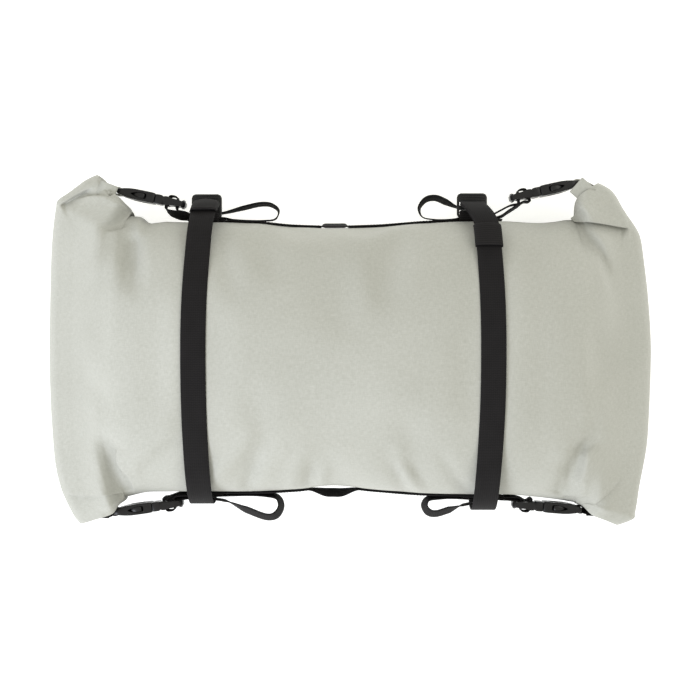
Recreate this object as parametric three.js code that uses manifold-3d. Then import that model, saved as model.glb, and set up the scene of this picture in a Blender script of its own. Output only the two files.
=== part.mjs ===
// Handlebar bag: a coated-fabric tube rolled shut at both ends and lying on its back, with two webbing
// straps round it and a quick-release buckle with an adjusting strap at each of its four corners.
//
// +X runs along the bag, +Y towards its top edge and +Z out of its front panel. The origin is under the
// middle of the bag, on the surface that it lies on. Sizes are millimetres and angles are degrees.
import * as THREE from 'three';
import { mergeVertices } from 'three/addons/utils/BufferGeometryUtils.js';
import Module from 'manifold-3d';

const wasm = await Module();
wasm.setup();

// Driving dimensions
const GAP = 0.3; // between pieces that lie against each other
const FABRIC = 1.6; // wall of the coated fabric
const EDGE_Z = 70; // height of the bag's two side edges, where the narrow webbing runs
const NECK_X = { left: -229.4, right: 231.8 }; // where the rolled ends begin
const MAIN_STRAP = { wide: 25, thick: 1.8 };
const NARROW_STRAP = { wide: 20, thick: 1.4 };
const EDGE_WEBBING = { wide: 20, thick: 1.6, from: -166, to: 158 };
const ROLL_TAB = { wide: 14, thick: 1.4, lipZ: 56 }; // lipZ is its height where it joins the rolled lip
const STRAP_LIFT = MAIN_STRAP.thick + GAP; // the back panel rides this high on the straps

// Cross-sections of the body are superellipses, flattened where the back rests.
const FRONT_SQUARENESS = 2.3;
const BACK_SQUARENESS = 2.6;
const BACK_SAG = 8; // how far the back would hang with nothing under it
const RING_POINTS = 36;

// One row for each cross-section: its side edges in y, and its front and back panels in z.
const BODY_SECTIONS = [
  { x: -229.4, top: 137, bottom: -149, front: 137, back: 10 },
  { x: -202, top: 131, bottom: -146, front: 152, back: 4 },
  { x: -170, top: 132, bottom: -146, front: 167, back: STRAP_LIFT },
  { x: -141, top: 132, bottom: -146, front: 167, back: STRAP_LIFT },
  { x: -100, top: 131, bottom: -146, front: 174, back: 0.6 },
  { x: -55, top: 127, bottom: -144, front: 176, back: 0.6 },
  { x: -18, top: 126, bottom: -140, front: 176, back: 0.6 },
  { x: 25, top: 127, bottom: -144, front: 176, back: 0.6 },
  { x: 80, top: 131, bottom: -148, front: 174, back: 0.6 },
  { x: 129, top: 133, bottom: -149, front: 168, back: STRAP_LIFT },
  { x: 158, top: 133, bottom: -149, front: 168, back: STRAP_LIFT },
  { x: 195, top: 131, bottom: -151, front: 156, back: 4 },
  { x: 231.8, top: 134, bottom: -153, front: 137, back: 10 },
];
const BODY_STATIONS = [-202, -186, -170, -141, -120, -90, -55, -18, 25, 60, 95, 129, 158, 177, 195, 212];

// A rolled end halfway between its corners, from the neck outwards. edge is the height of its two corners.
const END_SECTIONS = [
  { out: 0, front: 137, back: 10, edge: 70 },
  { out: 16, front: 125.5, back: 24, edge: 74 },
  { out: 32, front: 112.5, back: 50, edge: 82 },
  { out: 44, front: 102.5, back: 76, edge: 89 },
  { out: 54, front: 94, back: 89.6, edge: 91.8 },
];
const END_STATIONS = [0, 10, 20, 30, 39, 47, 54];

// The doubled fabric is rolled towards the back, in a spiral that is taller than it is thick.
const ROLL = { out: 62, z: 60, radius: 20, pitch: 9.5, stretch: 1.25, start: 0.09, turns: 1.3, steps: 12 };
const COIL_RECESS = 0.055; // share of the half width by which the inner coils stop short of the corners
const DOUBLE_LAYER = 2.2; // half the thickness of the doubled fabric, which keeps a slit inside
const ROLL_WIDTHS = [1, 0.955, 0.88, 0.75, 0.4, -0.4, -0.75, -0.88, -0.955, -1]; // shares of the half width
const ROLL_OUT = 82; // from the neck to the outer face of the roll

// Each rolled end is bent in towards the bag at its corners. The cut edge runs from neck to peak and bulges
// towards the buckle. A share bow of the bend is spread over the whole end, and the rest starts at kink.
const CORNERS = {
  top_left: { neck: [-221, 136], peak: [-261, 185.5], bulge: 2.1, bow: 0.15, kink: 0.85, power: 1.05 },
  top_right: { neck: [224, 133], peak: [244, 184], bulge: 4, bow: 0.26, kink: 0.55, power: 2.4 },
  bottom_left: { neck: [-227, -148], peak: [-280, -184], bulge: 2, bow: 0.44, kink: 0.64, power: 1.7 },
  bottom_right: { neck: [229, -153], peak: [286, -185], bulge: 0, bow: 0.05, kink: 0.37, power: 2.3 },
};
const BOW_POWER = 2;

// Dents and ridges of the front panel: a line from (x, y) to (toX, toY), its height and half width.
const FOLDS = [
  { name: 'top left elbow', x: -252, y: 124, toX: -224, toY: 134, height: -10, wide: 7 },
  { name: 'top left dent', x: -226, y: 122, toX: -217, toY: 68, height: -8, wide: 10 },
  { name: 'top left ridge', x: -240, y: 116, toX: -231, toY: 72, height: 3.5, wide: 11 },
  { name: 'top right elbow', x: 230, y: 133, toX: 284, toY: 125, height: -10, wide: 6 },
  { name: 'top right lip', x: 234, y: 144, toX: 280, toY: 138, height: 5, wide: 8 },
  { name: 'top right dent', x: 240, y: 120, toX: 262, toY: 84, height: -7, wide: 9 },
  { name: 'top right ridge', x: 256, y: 116, toX: 272, toY: 90, height: 3, wide: 9 },
  { name: 'bottom left dent', x: -239, y: -96, toX: -230, toY: -142, height: -9, wide: 10 },
  { name: 'bottom left ridge', x: -252, y: -104, toX: -246, toY: -142, height: 3.5, wide: 9 },
  { name: 'bottom right dent', x: 234, y: -100, toX: 219, toY: -146, height: -7, wide: 10 },
  { name: 'bottom right ridge', x: 243, y: -104, toX: 238, toY: -146, height: 4, wide: 9 },
  { name: 'bottom right crease', x: 252, y: -160, toX: 284, toY: -131, height: -4, wide: 6 },
  { name: 'webbing dimple', x: -20, y: -132, toX: -22, toY: -108, height: -3, wide: 9 },
];

// The main straps: how far each leans aside at its ladder lock (swerve), over the top edge (topLean) and
// over the bottom edge (bottomLean), and how far it stands off the side edges.
const MAIN_STRAPS = {
  left: { x: -153.3, swerve: 2, topLean: 5, bottomLean: 2.5, topStandOff: 16.5, bottomStandOff: 10.5 },
  right: { x: 142, swerve: -11.5, topLean: -4.5, bottomLean: -4.5, topStandOff: 16.5, bottomStandOff: 14 },
};
const LEAN_ANGLE = 85; // how far round the section the two leans reach
const SWERVE_ANGLE = 27;
const STRAP_POINTS = 2 * RING_POINTS;
const STAND_OFF = { angle: 56, crest: 7 }; // how far round the section it reaches, and where it is greatest

// The ladder lock's sizes along y, from its outer edge to its inner one: bar, slot, bar, slot, bar.
const LADDER_LOCK = {
  z: 82.6,
  wide: 31,
  thick: 4,
  outerBar: 8,
  slot: 4.6,
  middleBar: 4.6,
  innerBar: 3.2,
  slotWide: 27,
  cornerCut: 2.5,
  groove: { from: 2.6, to: 4.4, deep: 0.8, margin: 3 }, // across the outer bar
};

// The keepers lie between two heights on the straps' way up from the top edge.
const KEEPER_WALL = 1.2;
const KEEPERS = {
  left: { fromZ: 87, toZ: 115 },
  right: { fromZ: 130, toZ: 149 },
};

// Quick-release buckles: place of the middle and the way from the roll to the bag.
const BUCKLES = {
  top_left: { x: -204, y: 157, towards: [75, -15.4] },
  top_right: { x: 201, y: 164.5, towards: [-69, -15.4] },
  bottom_left: { x: -207, y: -162.5, towards: [75, 10.3] },
  bottom_right: { x: 204, y: -162, towards: [-66, 5.2] },
};
const BUCKLE = {
  rear: -36, // along the buckle, from its middle
  joint: 4,
  front: 36,
  wide: 28,
  femaleThick: 11,
  maleThick: 8.4,
  shell: 2.4,
  clearance: 0.4,
  bar: 3.5, // along the buckle
  rearBarHalf: 2.1, // half the thickness of the rear bar
  slot: 5,
  slotWide: 21.2,
  maleSlots: [[15, 19.5], [25, 29.5]],
};

// The loose end of each adjusting strap lies along the edge, loops back and is tucked under the main strap.
const TAILS = {
  top_left: { far: [-73, 144], crest: [-90, 151], tuck: [-129, 142], tilt: 7 },
  top_right: { far: [72.5, 146.5], crest: [89, 157.5], tuck: [111, 148], tilt: -12 },
  bottom_left: { far: [-70.5, -162], crest: [-84, -173], tuck: [-129, -155.8], tilt: 24 },
  bottom_right: { far: [78, -161], crest: [89, -169.5], tuck: [118, -160.5], tilt: -24 },
};

// The webbing sewn along each edge lies flat but for one open loop, with a level stretch between two ramps.
const EDGE_LOOPS = {
  top: { x: -15, level: 10, ramp: 5, height: 2.6, tilt: 13 },
  bottom: { x: -16, level: 4, ramp: 24, height: 7, tilt: 12 },
};

const FINISHES = {
  fabric: { color: 0xc6c7ba, roughness: 0.75, metalness: 0 },
  webbing: { color: 0x2b292b, roughness: 0.85, metalness: 0 },
  plastic: { color: 0x262427, roughness: 0.45, metalness: 0 },
  elastic: { color: 0x2f2c2e, roughness: 0.9, metalness: 0 },
};

// Small helpers

const { lerp, clamp, smoothstep, degToRad } = THREE.MathUtils;
const power = (value, exponent) => Math.sign(value) * Math.abs(value) ** exponent;

// A bump of height 1 that falls to 0 at half on either side of the middle.
function bump(distance, half) {
  return Math.abs(distance) < half ? Math.cos((Math.PI / 2) * (distance / half)) ** 2 : 0;
}

// A column of a table at some place between its rows, on a smooth curve that never overshoots a row.
function column(table, key, at, name) {
  const last = table.length - 1;
  const slope = (i) => (table[i + 1][name] - table[i][name]) / (table[i + 1][key] - table[i][key]);
  const tangent = (i) => {
    if (i === 0) return slope(0);
    if (i === last) return slope(last - 1);
    const before = slope(i - 1);
    const after = slope(i);
    return before * after > 0 ? (2 * before * after) / (before + after) : 0;
  };
  const found = table.findIndex((row) => row[key] >= at);
  const i = clamp((found < 0 ? last : found) - 1, 0, last - 1);
  const span = table[i + 1][key] - table[i][key];
  const t = clamp((at - table[i][key]) / span, 0, 1);
  const [a, b] = [table[i][name], table[i + 1][name]];
  const rise = tangent(i) * span * t * (1 - t) ** 2 - tangent(i + 1) * span * t * t * (1 - t);
  return a + (b - a) * t * t * (3 - 2 * t) + rise;
}

// Triangles between two closed loops of points, each point with its share p of the way round.
function zip(from, to, startFrom, startTo, faces) {
  const share = (loop, i) => (i < loop.length ? loop[i].p : 1 + loop[0].p);
  let i = 0;
  let j = 0;
  while (i < from.length || j < to.length) {
    const a = startFrom + (i % from.length);
    const b = startTo + (j % to.length);
    const stepFrom = j >= to.length || (i < from.length && share(from, i + 1) <= share(to, j + 1));
    if (stepFrom) {
      i += 1;
      faces.push(a, startFrom + (i % from.length), b);
    } else {
      j += 1;
      faces.push(a, startTo + (j % to.length), b);
    }
  }
}

// A closed surface through loops of points. A ring of loops joins its last to its first; otherwise the
// two ends are capped, which suits four-sided loops.
function loft(loops, { ring }) {
  const positions = [];
  const starts = [];
  const faces = [];
  for (const loop of loops) {
    starts.push(positions.length / 3);
    for (const { point } of loop) positions.push(point.x, point.y, point.z);
  }
  const joins = ring ? loops.length : loops.length - 1;
  for (let i = 0; i < joins; i += 1) {
    const next = (i + 1) % loops.length;
    zip(loops[i], loops[next], starts[i], starts[next], faces);
  }
  if (!ring) {
    const end = starts[loops.length - 1];
    faces.push(0, 2, 1, 0, 3, 2, end, end + 1, end + 2, end, end + 2, end + 3);
  }
  const geometry = new THREE.BufferGeometry();
  geometry.setAttribute('position', new THREE.Float32BufferAttribute(positions, 3));
  geometry.setIndex(faces);
  return geometry;
}

// A flat strip's cross-section at a point, with the way its thickness faces and the way its width runs.
function stripLoop({ point, out, across }, wide, thick) {
  const signs = [[1, 1], [1, -1], [-1, -1], [-1, 1]];
  return signs.map(([w, t], i) => {
    const corner = point.clone();
    corner.addScaledVector(across, (w * wide) / 2);
    corner.addScaledVector(out, (t * thick) / 2);
    return { p: i / signs.length, point: corner };
  });
}

function strip(stations, { wide, thick }, { ring = false } = {}) {
  return loft(stations.map((station) => stripLoop(station, wide, thick)), { ring });
}

// Booleans, for the moulded pieces
function solid(geometry) {
  const bare = geometry.index ? geometry.toNonIndexed() : geometry.clone();
  bare.deleteAttribute('normal');
  bare.deleteAttribute('uv');
  const merged = mergeVertices(bare, 1e-4);
  const mesh = new wasm.Mesh({
    numProp: 3,
    vertProperties: merged.getAttribute('position').array,
    triVerts: new Uint32Array(merged.index.array),
  });
  return new wasm.Manifold(mesh);
}

function geometryOf(made) {
  const mesh = made.getMesh();
  const geometry = new THREE.BufferGeometry();
  geometry.setAttribute('position', new THREE.BufferAttribute(mesh.vertProperties, mesh.numProp));
  geometry.setIndex(new THREE.BufferAttribute(mesh.triVerts, 1));
  return geometry;
}

function box([x0, x1], [y0, y1], [z0, z1]) {
  const geometry = new THREE.BoxGeometry(x1 - x0, y1 - y0, z1 - z0);
  return solid(geometry.translate((x0 + x1) / 2, (y0 + y1) / 2, (z0 + z1) / 2));
}

// A plate of an outline, centred on z = 0.
function plate(outline, thick, chamfer = 0) {
  const shape = new THREE.Shape(outline.map(([x, y]) => new THREE.Vector2(x, y)));
  const geometry = new THREE.ExtrudeGeometry(shape, {
    depth: thick - 2 * chamfer,
    bevelEnabled: chamfer > 0,
    bevelSize: chamfer,
    bevelOffset: -chamfer,
    bevelThickness: chamfer,
    bevelSegments: 1,
  });
  return solid(geometry.translate(0, 0, -thick / 2 + chamfer));
}

const mirrored = (outline) => [...outline, ...outline.map(([x, y]) => [x, -y]).reverse()];

// The fabric shell

// Height that the folds add to the front panel at a place.
function foldHeight(x, y) {
  let height = 0;
  for (const fold of FOLDS) {
    const [dx, dy] = [fold.toX - fold.x, fold.toY - fold.y];
    const length = Math.hypot(dx, dy);
    const along = ((x - fold.x) * dx + (y - fold.y) * dy) / length;
    const aside = ((x - fold.x) * dy - (y - fold.y) * dx) / length;
    const past = Math.max(0, -along, along - length);
    height += fold.height * Math.exp(-((aside ** 2 + past ** 2) / fold.wide ** 2));
  }
  return height;
}

// Where a point sits in a section: w runs from the bottom edge at -1 to the top edge at 1, and h from
// the back panel at -1 to the front panel at 1.
function sectionLoop(count) {
  return Array.from({ length: count }, (_, i) => {
    const angle = (2 * Math.PI * i) / count;
    const exponent = 2 / (Math.sin(angle) >= 0 ? FRONT_SQUARENESS : BACK_SQUARENESS);
    return { p: i / count, w: power(Math.cos(angle), exponent), h: power(Math.sin(angle), exponent) };
  });
}

function rolledLoop() {
  const front = ROLL_WIDTHS.map((w) => ({ w, h: Math.abs(w) === 1 ? 0 : 1 }));
  const back = ROLL_WIDTHS.slice(1, -1).reverse().map((w) => ({ w, h: -1 }));
  const share = ({ w, h }) => (h < 0 ? 1 - Math.acos(w) / (2 * Math.PI) : Math.acos(w) / (2 * Math.PI));
  return [...front, ...back].map((at) => ({ ...at, p: share(at) }));
}

// Height of the front or back panel in a section, with the back pressed flat where it rests.
function panelHeight({ front, back, edge }, h, inset) {
  if (h >= 0) return edge + h * (front - inset - edge);
  const sag = BACK_SAG * clamp(1 - back / 30, 0, 1);
  return Math.max(edge + h * (edge - back + sag - inset), back + inset);
}

function bodySection(x) {
  const at = (name) => column(BODY_SECTIONS, 'x', x, name);
  return { top: at('top'), bottom: at('bottom'), front: at('front'), back: at('back'), edge: EDGE_Z };
}

function bodyPoint(x, { w, h }, inset) {
  const section = bodySection(x);
  const y = w >= 0 ? w * (section.top - inset) : -w * (section.bottom + inset);
  const z = panelHeight(section, h, inset) + Math.max(h, 0) * foldHeight(x, y);
  return new THREE.Vector3(x, y, z);
}

// Where a place in a rolled end comes to lie, seen from the front, once its corners are bent in.
function endPlan(side, out, w, inset) {
  const end = side < 0 ? 'left' : 'right';
  const corner = CORNERS[`${w >= 0 ? 'top' : 'bottom'}_${end}`];
  const neck = NECK_X[end];
  const t = out / ROLL_OUT;
  const [cutX, cutY] = [corner.peak[0] - corner.neck[0], corner.peak[1] - corner.neck[1]];
  const bulge = (corner.bulge * Math.sin(Math.PI * clamp(t, 0, 1))) / Math.hypot(cutX, cutY);
  const edgeX = corner.neck[0] + cutX * t - side * bulge * Math.abs(cutY);
  const edgeY = corner.neck[1] + cutY * t + Math.sign(w) * (bulge * Math.abs(cutX) - inset);
  const bent = clamp((Math.abs(w) - corner.kink) / (1 - corner.kink), 0, 1) ** corner.power;
  const share = corner.bow * Math.abs(w) ** BOW_POWER + (1 - corner.bow) * bent;
  return [lerp(neck + side * out, edgeX, share), Math.abs(w) * edgeY];
}

function endPoint(side, out, { w, h }, inset) {
  const at = (name) => column(END_SECTIONS, 'out', out, name);
  const [x, y] = endPlan(side, out, w, inset);
  const section = { front: at('front'), back: at('back'), edge: at('edge') };
  const flat = clamp((out - 30) / 16, 0, 1); // folds die out towards the roll
  const z = panelHeight(section, h, inset) + Math.max(h, 0) * (1 - flat) * foldHeight(x, y);
  return new THREE.Vector3(x, y, z);
}

// A place in the spiral: turn is in turns from the top of the roll.
function rollPoint(side, turn, { w, h }, inset) {
  const angle = 2 * Math.PI * turn;
  const radius = ROLL.radius - ROLL.pitch * turn + h * (DOUBLE_LAYER - inset);
  const width = w * (1 - COIL_RECESS * smoothstep(turn, 0.3, 0.75));
  const [x, y] = endPlan(side, ROLL.out + radius * Math.sin(angle), width, inset);
  return new THREE.Vector3(x, y, ROLL.z + ROLL.stretch * radius * Math.cos(angle));
}

function fabricShell() {
  const full = sectionLoop(RING_POINTS);
  const rolled = rolledLoop();
  const turnAt = (i) => lerp(ROLL.start, ROLL.turns, i / ROLL.steps);
  const turns = Array.from({ length: ROLL.steps + 1 }, (_, i) => turnAt(i));
  const rightEnd = [
    ...END_STATIONS.map((out) => ({
      loop: full,
      place: (side, at, inset) => endPoint(side, out, at, inset),
    })),
    ...turns.map((turn) => ({
      loop: rolled,
      place: (side, at, inset) => rollPoint(side, turn, at, inset),
    })),
  ];
  const stations = [
    ...rightEnd.map((s) => ({ loop: s.loop, place: (at, inset) => s.place(-1, at, inset) })).reverse(),
    ...BODY_STATIONS.map((x) => ({ loop: full, place: (at, inset) => bodyPoint(x, at, inset) })),
    ...rightEnd.map((s) => ({ loop: s.loop, place: (at, inset) => s.place(1, at, inset) })),
  ];
  const surface = (inset) =>
    stations.map(({ loop, place }) => loop.map((at) => ({ p: at.p, point: place(at, inset) })));
  return loft([...surface(0), ...surface(FABRIC).reverse()], { ring: true });
}

// The main straps and what sits on them

// The strap's centre line round the bag, in the plane of its section, with the way it faces.
function strapStations({ x, swerve, topLean, bottomLean, topStandOff, bottomStandOff }) {
  const loop = sectionLoop(STRAP_POINTS);
  const places = loop.map((at) => bodyPoint(x, at, 0));
  const reach = degToRad(STAND_OFF.angle);
  const crest = degToRad(STAND_OFF.crest);
  const lean = degToRad(LEAN_ANGLE);
  return places.map((place, i) => {
    const before = places[(i + STRAP_POINTS - 1) % STRAP_POINTS];
    const after = places[(i + 1) % STRAP_POINTS];
    const along = after.clone().sub(before).normalize();
    const out = new THREE.Vector3(0, along.z, -along.y);
    const angle = 2 * Math.PI * loop[i].p;
    const topAngle = Math.atan2(Math.sin(angle), Math.cos(angle)) - crest;
    const bottomAngle = angle - Math.PI + crest;
    const fromTop = bump(topAngle, reach);
    const fromBottom = bump(bottomAngle, reach);
    const off = GAP + MAIN_STRAP.thick / 2 + topStandOff * fromTop + bottomStandOff * fromBottom;
    const point = place.clone().addScaledVector(out, off);
    point.x += swerve * bump(topAngle, degToRad(SWERVE_ANGLE));
    point.x += topLean * bump(topAngle, lean) + bottomLean * bump(bottomAngle, lean);
    return { point, out, across: new THREE.Vector3(-1, 0, 0) };
  });
}

// The thickness of a path faces its own bends once the path is lifted, so it is worked out again from it.
function facingOut(stations) {
  return stations.map((station, i) => {
    const before = stations[(i + stations.length - 1) % stations.length].point;
    const after = stations[(i + 1) % stations.length].point;
    const along = after.clone().sub(before).setX(0).normalize();
    return { ...station, out: new THREE.Vector3(0, along.z, -along.y) };
  });
}

const strapPath = (name) => facingOut(strapStations(MAIN_STRAPS[name]));

// The strap's place at the height where it passes down through its ladder lock.
function strapAtHeight(path, z) {
  const crossing = path.findIndex(({ point }, i) => point.z <= z && path[(i + 1) % path.length].point.z > z);
  const [a, b] = [path[crossing].point, path[(crossing + 1) % path.length].point];
  return a.clone().lerp(b, (z - a.z) / (b.z - a.z));
}

// A moulded frame with two slots. The strap passes down through the outer slot, against the middle bar.
function ladderLock(path) {
  const { z, wide, thick, slotWide, cornerCut: cut, groove } = LADDER_LOCK;
  const { outerBar, slot, middleBar, innerBar } = LADDER_LOCK;
  const heights = [z - thick / 2, z, z + thick / 2].map((height) => strapAtHeight(path, height));
  const barFace = Math.min(...heights.map((p) => p.y)) - MAIN_STRAP.thick / 2 - 1.5 * GAP;
  const outerSlot = [barFace, barFace + slot];
  const innerSlot = [barFace - middleBar - slot, barFace - middleBar];
  const [y0, y1] = [innerSlot[0] - innerBar, outerSlot[1] + outerBar];
  const half = wide / 2;
  const outline = [
    [-half, y0 + cut],
    [-half + cut, y0],
    [half - cut, y0],
    [half, y0 + cut],
    [half, y1 - cut],
    [half - cut, y1],
    [-half + cut, y1],
    [-half, y1 - cut],
  ];
  const through = [-thick, thick];
  const across = [-slotWide / 2, slotWide / 2];
  const grooveWide = half - groove.margin;
  const grooveAlong = [outerSlot[1] + groove.from, outerSlot[1] + groove.to];
  const frame = plate(outline, thick, 0.8)
    .subtract(box(across, outerSlot, through))
    .subtract(box(across, innerSlot, through))
    .subtract(box([-grooveWide, grooveWide], grooveAlong, [thick / 2 - groove.deep, thick]));
  return { geometry: geometryOf(frame), place: new THREE.Vector3(heights[1].x, 0, z) };
}

// A sleeve round the strap.
function keeper(path, { fromZ, toZ }) {
  const { wide, thick } = MAIN_STRAP;
  const held = path.filter(({ point }) => point.y > 0 && point.z >= fromZ && point.z <= toZ);
  const sleeve = (off) => held.map((station) => stripLoop(station, wide + 2 * off, thick + 2 * off));
  return loft([...sleeve(GAP + KEEPER_WALL), ...sleeve(GAP).reverse()], { ring: true });
}

// Narrow webbing, which stands on edge: its width runs along z

// Stations along a smooth route of { x, y, z, tilt } rows. tilt turns the strip about the way it runs.
function routeStations(route, stepsPerRow) {
  const points = route.map(({ x, y, z = EDGE_Z }) => new THREE.Vector3(x, y, z));
  const curve = new THREE.CatmullRomCurve3(points, false, 'centripetal');
  const steps = stepsPerRow * (route.length - 1);
  return Array.from({ length: steps + 1 }, (_, i) => {
    const row = Math.min(Math.floor(i / stepsPerRow), route.length - 2);
    const tilt = lerp(route[row].tilt ?? 0, route[row + 1].tilt ?? 0, i / stepsPerRow - row);
    const along = curve.getTangent(i / steps).setZ(0).normalize();
    const turned = new THREE.Quaternion().setFromAxisAngle(along, degToRad(tilt));
    const out = new THREE.Vector3(-along.y, along.x, 0).applyQuaternion(turned);
    const across = new THREE.Vector3(0, 0, 1).applyQuaternion(turned);
    return { point: curve.getPoint(i / steps), out, across };
  });
}

// The bag's edge line, seen from the front: straight from one ring of the shell to the next.
function edgeY(edge, x) {
  const next = clamp(BODY_STATIONS.findIndex((station) => station > x), 1, BODY_STATIONS.length - 1);
  const [x0, x1] = [BODY_STATIONS[next - 1], BODY_STATIONS[next]];
  return lerp(bodySection(x0)[edge], bodySection(x1)[edge], (x - x0) / (x1 - x0));
}

function edgeWebbing(edge) {
  const sign = edge === 'top' ? 1 : -1;
  const { x: loopX, level, ramp, height, tilt } = EDGE_LOOPS[edge];
  const steps = 54;
  const route = Array.from({ length: steps + 1 }, (_, i) => {
    const x = lerp(EDGE_WEBBING.from, EDGE_WEBBING.to, i / steps);
    const lifted = smoothstep(level + ramp - Math.abs(x - loopX), 0, ramp);
    const off = GAP + EDGE_WEBBING.thick / 2 + height * lifted;
    return { x, y: edgeY(edge, x) + sign * off, tilt: tilt * lifted };
  });
  return strip(routeStations(route, 1), EDGE_WEBBING);
}

// Quick-release buckles, modelled along +X with their width along Y and their outer face up +Z

function buckleFrame(name) {
  const { x, y, towards } = BUCKLES[name];
  const along = new THREE.Vector3(...towards, 0).normalize();
  const out = new THREE.Vector3(-along.y, along.x, 0);
  if (out.y * y < 0) out.negate();
  const matrix = new THREE.Matrix4().makeBasis(along, out.clone().cross(along), out);
  return matrix.setPosition(x, y, EDGE_Z);
}

function buckleFemale() {
  const { rear, joint, wide, femaleThick, shell, bar, rearBarHalf, slot, slotWide } = BUCKLE;
  const half = wide / 2;
  const outline = mirrored([
    [rear, half - 3],
    [rear + 3, half - 0.6],
    [joint - 4, half],
    [joint, half - 1],
  ]);
  const pocket = femaleThick / 2 - shell;
  const across = [-slotWide / 2, slotWide / 2];
  const made = plate(outline, femaleThick, 1.4)
    .subtract(box([rear + 13, joint + 1], [-half + 3.4, half - 3.4], [-pocket, pocket]))
    .subtract(box([rear + 14, joint - 9], [-half - 1, half + 1], [-pocket, pocket]))
    .subtract(box([rear + bar, rear + bar + slot], across, [-femaleThick, femaleThick]))
    .subtract(box([rear - 1, rear + bar], [-half, half], [rearBarHalf, femaleThick]))
    .subtract(box([rear - 1, rear + bar], [-half, half], [-femaleThick, -rearBarHalf]));
  return geometryOf(made);
}

function buckleMale() {
  const { rear, joint, front, wide, femaleThick, maleThick, shell, clearance, slotWide, maleSlots } = BUCKLE;
  const half = wide / 2;
  const start = joint + GAP;
  const base = mirrored([
    [start, half - 1],
    [start + 6, half - 0.4],
    [front - 9, half - 1.4],
    [front - 3, half - 2.4],
    [front, half - 5],
  ]);
  const prong = [
    [start + 4, half - 4],
    [joint - 9 - clearance, half - 4.4],
    [joint - 9 - clearance - 1.5, half - 0.8],
    [rear + 20, half - 1.6],
    [rear + 15, half - 5],
    [rear + 15, half - 7],
    [start + 4, half - 8],
  ];
  const prongThick = 2 * (femaleThick / 2 - shell - clearance);
  const guide = [[start + 4, 1.6], [rear + 24, 1.2], [rear + 24, -1.2], [start + 4, -1.6]];
  const flipped = prong.map(([x, y]) => [x, -y]).reverse();
  const across = [-slotWide / 2, slotWide / 2];
  const made = [prong, flipped, guide].reduce(
    (body, outline) => body.add(plate(outline, prongThick)),
    plate(base, maleThick, 1.2),
  );
  const through = [-maleThick, maleThick];
  return geometryOf(maleSlots.reduce((body, along) => body.subtract(box(along, across, through)), made));
}

// Rows of a plan route from points in a buckle's own frame: along it, and out from its middle plane.
function fromBuckle(frame, rows) {
  return rows.map(([along, out]) => {
    const { x, y } = new THREE.Vector3(along, 0, out).applyMatrix4(frame);
    return { x, y };
  });
}

// An adjusting strap: from under the main strap out to the buckle, round its bar, and back to the loose end.
function adjustingStrap(name) {
  const [edge, end] = name.split('_');
  const side = end === 'left' ? -1 : 1;
  const sign = edge === 'top' ? 1 : -1;
  const frame = buckleFrame(name);
  const { far, crest, tuck, tilt } = TAILS[name];
  const layer = (n) => GAP * (n + 2) + EDGE_WEBBING.thick + NARROW_STRAP.thick * (n + 0.5);
  const onEdge = (x, n) => ({ x, y: edgeY(edge, x) + sign * layer(n) });
  const strapX = MAIN_STRAPS[end].x;
  const [[slotA0, slotA1], [slotB0, slotB1]] = BUCKLE.maleSlots;
  const [slotA, slotB, bar] = [(slotA0 + slotA1) / 2, (slotB0 + slotB1) / 2, (slotA1 + slotB0) / 2];
  const face = BUCKLE.maleThick / 2 + GAP + NARROW_STRAP.thick / 2 + 0.4;
  const [swing, ...overBar] = fromBuckle(frame, [
    [bar - 2.2, -face - 5],
    [slotA - 0.8, -face - 2],
    [slotA - 0.2, 0],
    [slotA + 1.4, face],
    [bar, face + 0.9],
    [slotB - 1.4, face],
    [slotB + 0.1, 0],
    [slotB + 0.7, -face - 1],
    [BUCKLE.front + 1, -face - 1.6],
  ]);
  swing.y = sign * Math.max(sign * swing.y, sign * onEdge(swing.x, 0.5).y);
  const route = [
    onEdge(strapX - side * 24, 0),
    onEdge(strapX, 0.05),
    onEdge(strapX + side * 14, 0.2),
    onEdge(strapX + side * 21, 0.8),
    swing,
    ...overBar,
    onEdge(strapX, 1.2),
    onEdge(strapX - side * 24, 1.1),
    onEdge(far[0] + side * 16, 0.8),
    { x: far[0] + side * 3, y: lerp(onEdge(far[0], 0).y, far[1], 0.35), tilt: tilt * 0.4 },
    { x: far[0], y: far[1], tilt: tilt * 0.7 },
    { x: lerp(far[0], crest[0], 0.4), y: lerp(far[1], crest[1], 0.82), tilt },
    { x: crest[0], y: crest[1], tilt },
    { x: lerp(crest[0], tuck[0], 0.5), y: lerp(crest[1], tuck[1], 0.45), tilt },
    { x: tuck[0], y: tuck[1] },
    { x: strapX - side * 4, y: onEdge(strapX, 2.8).y },
  ];
  return strip(routeStations(route, 2), NARROW_STRAP);
}

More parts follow.
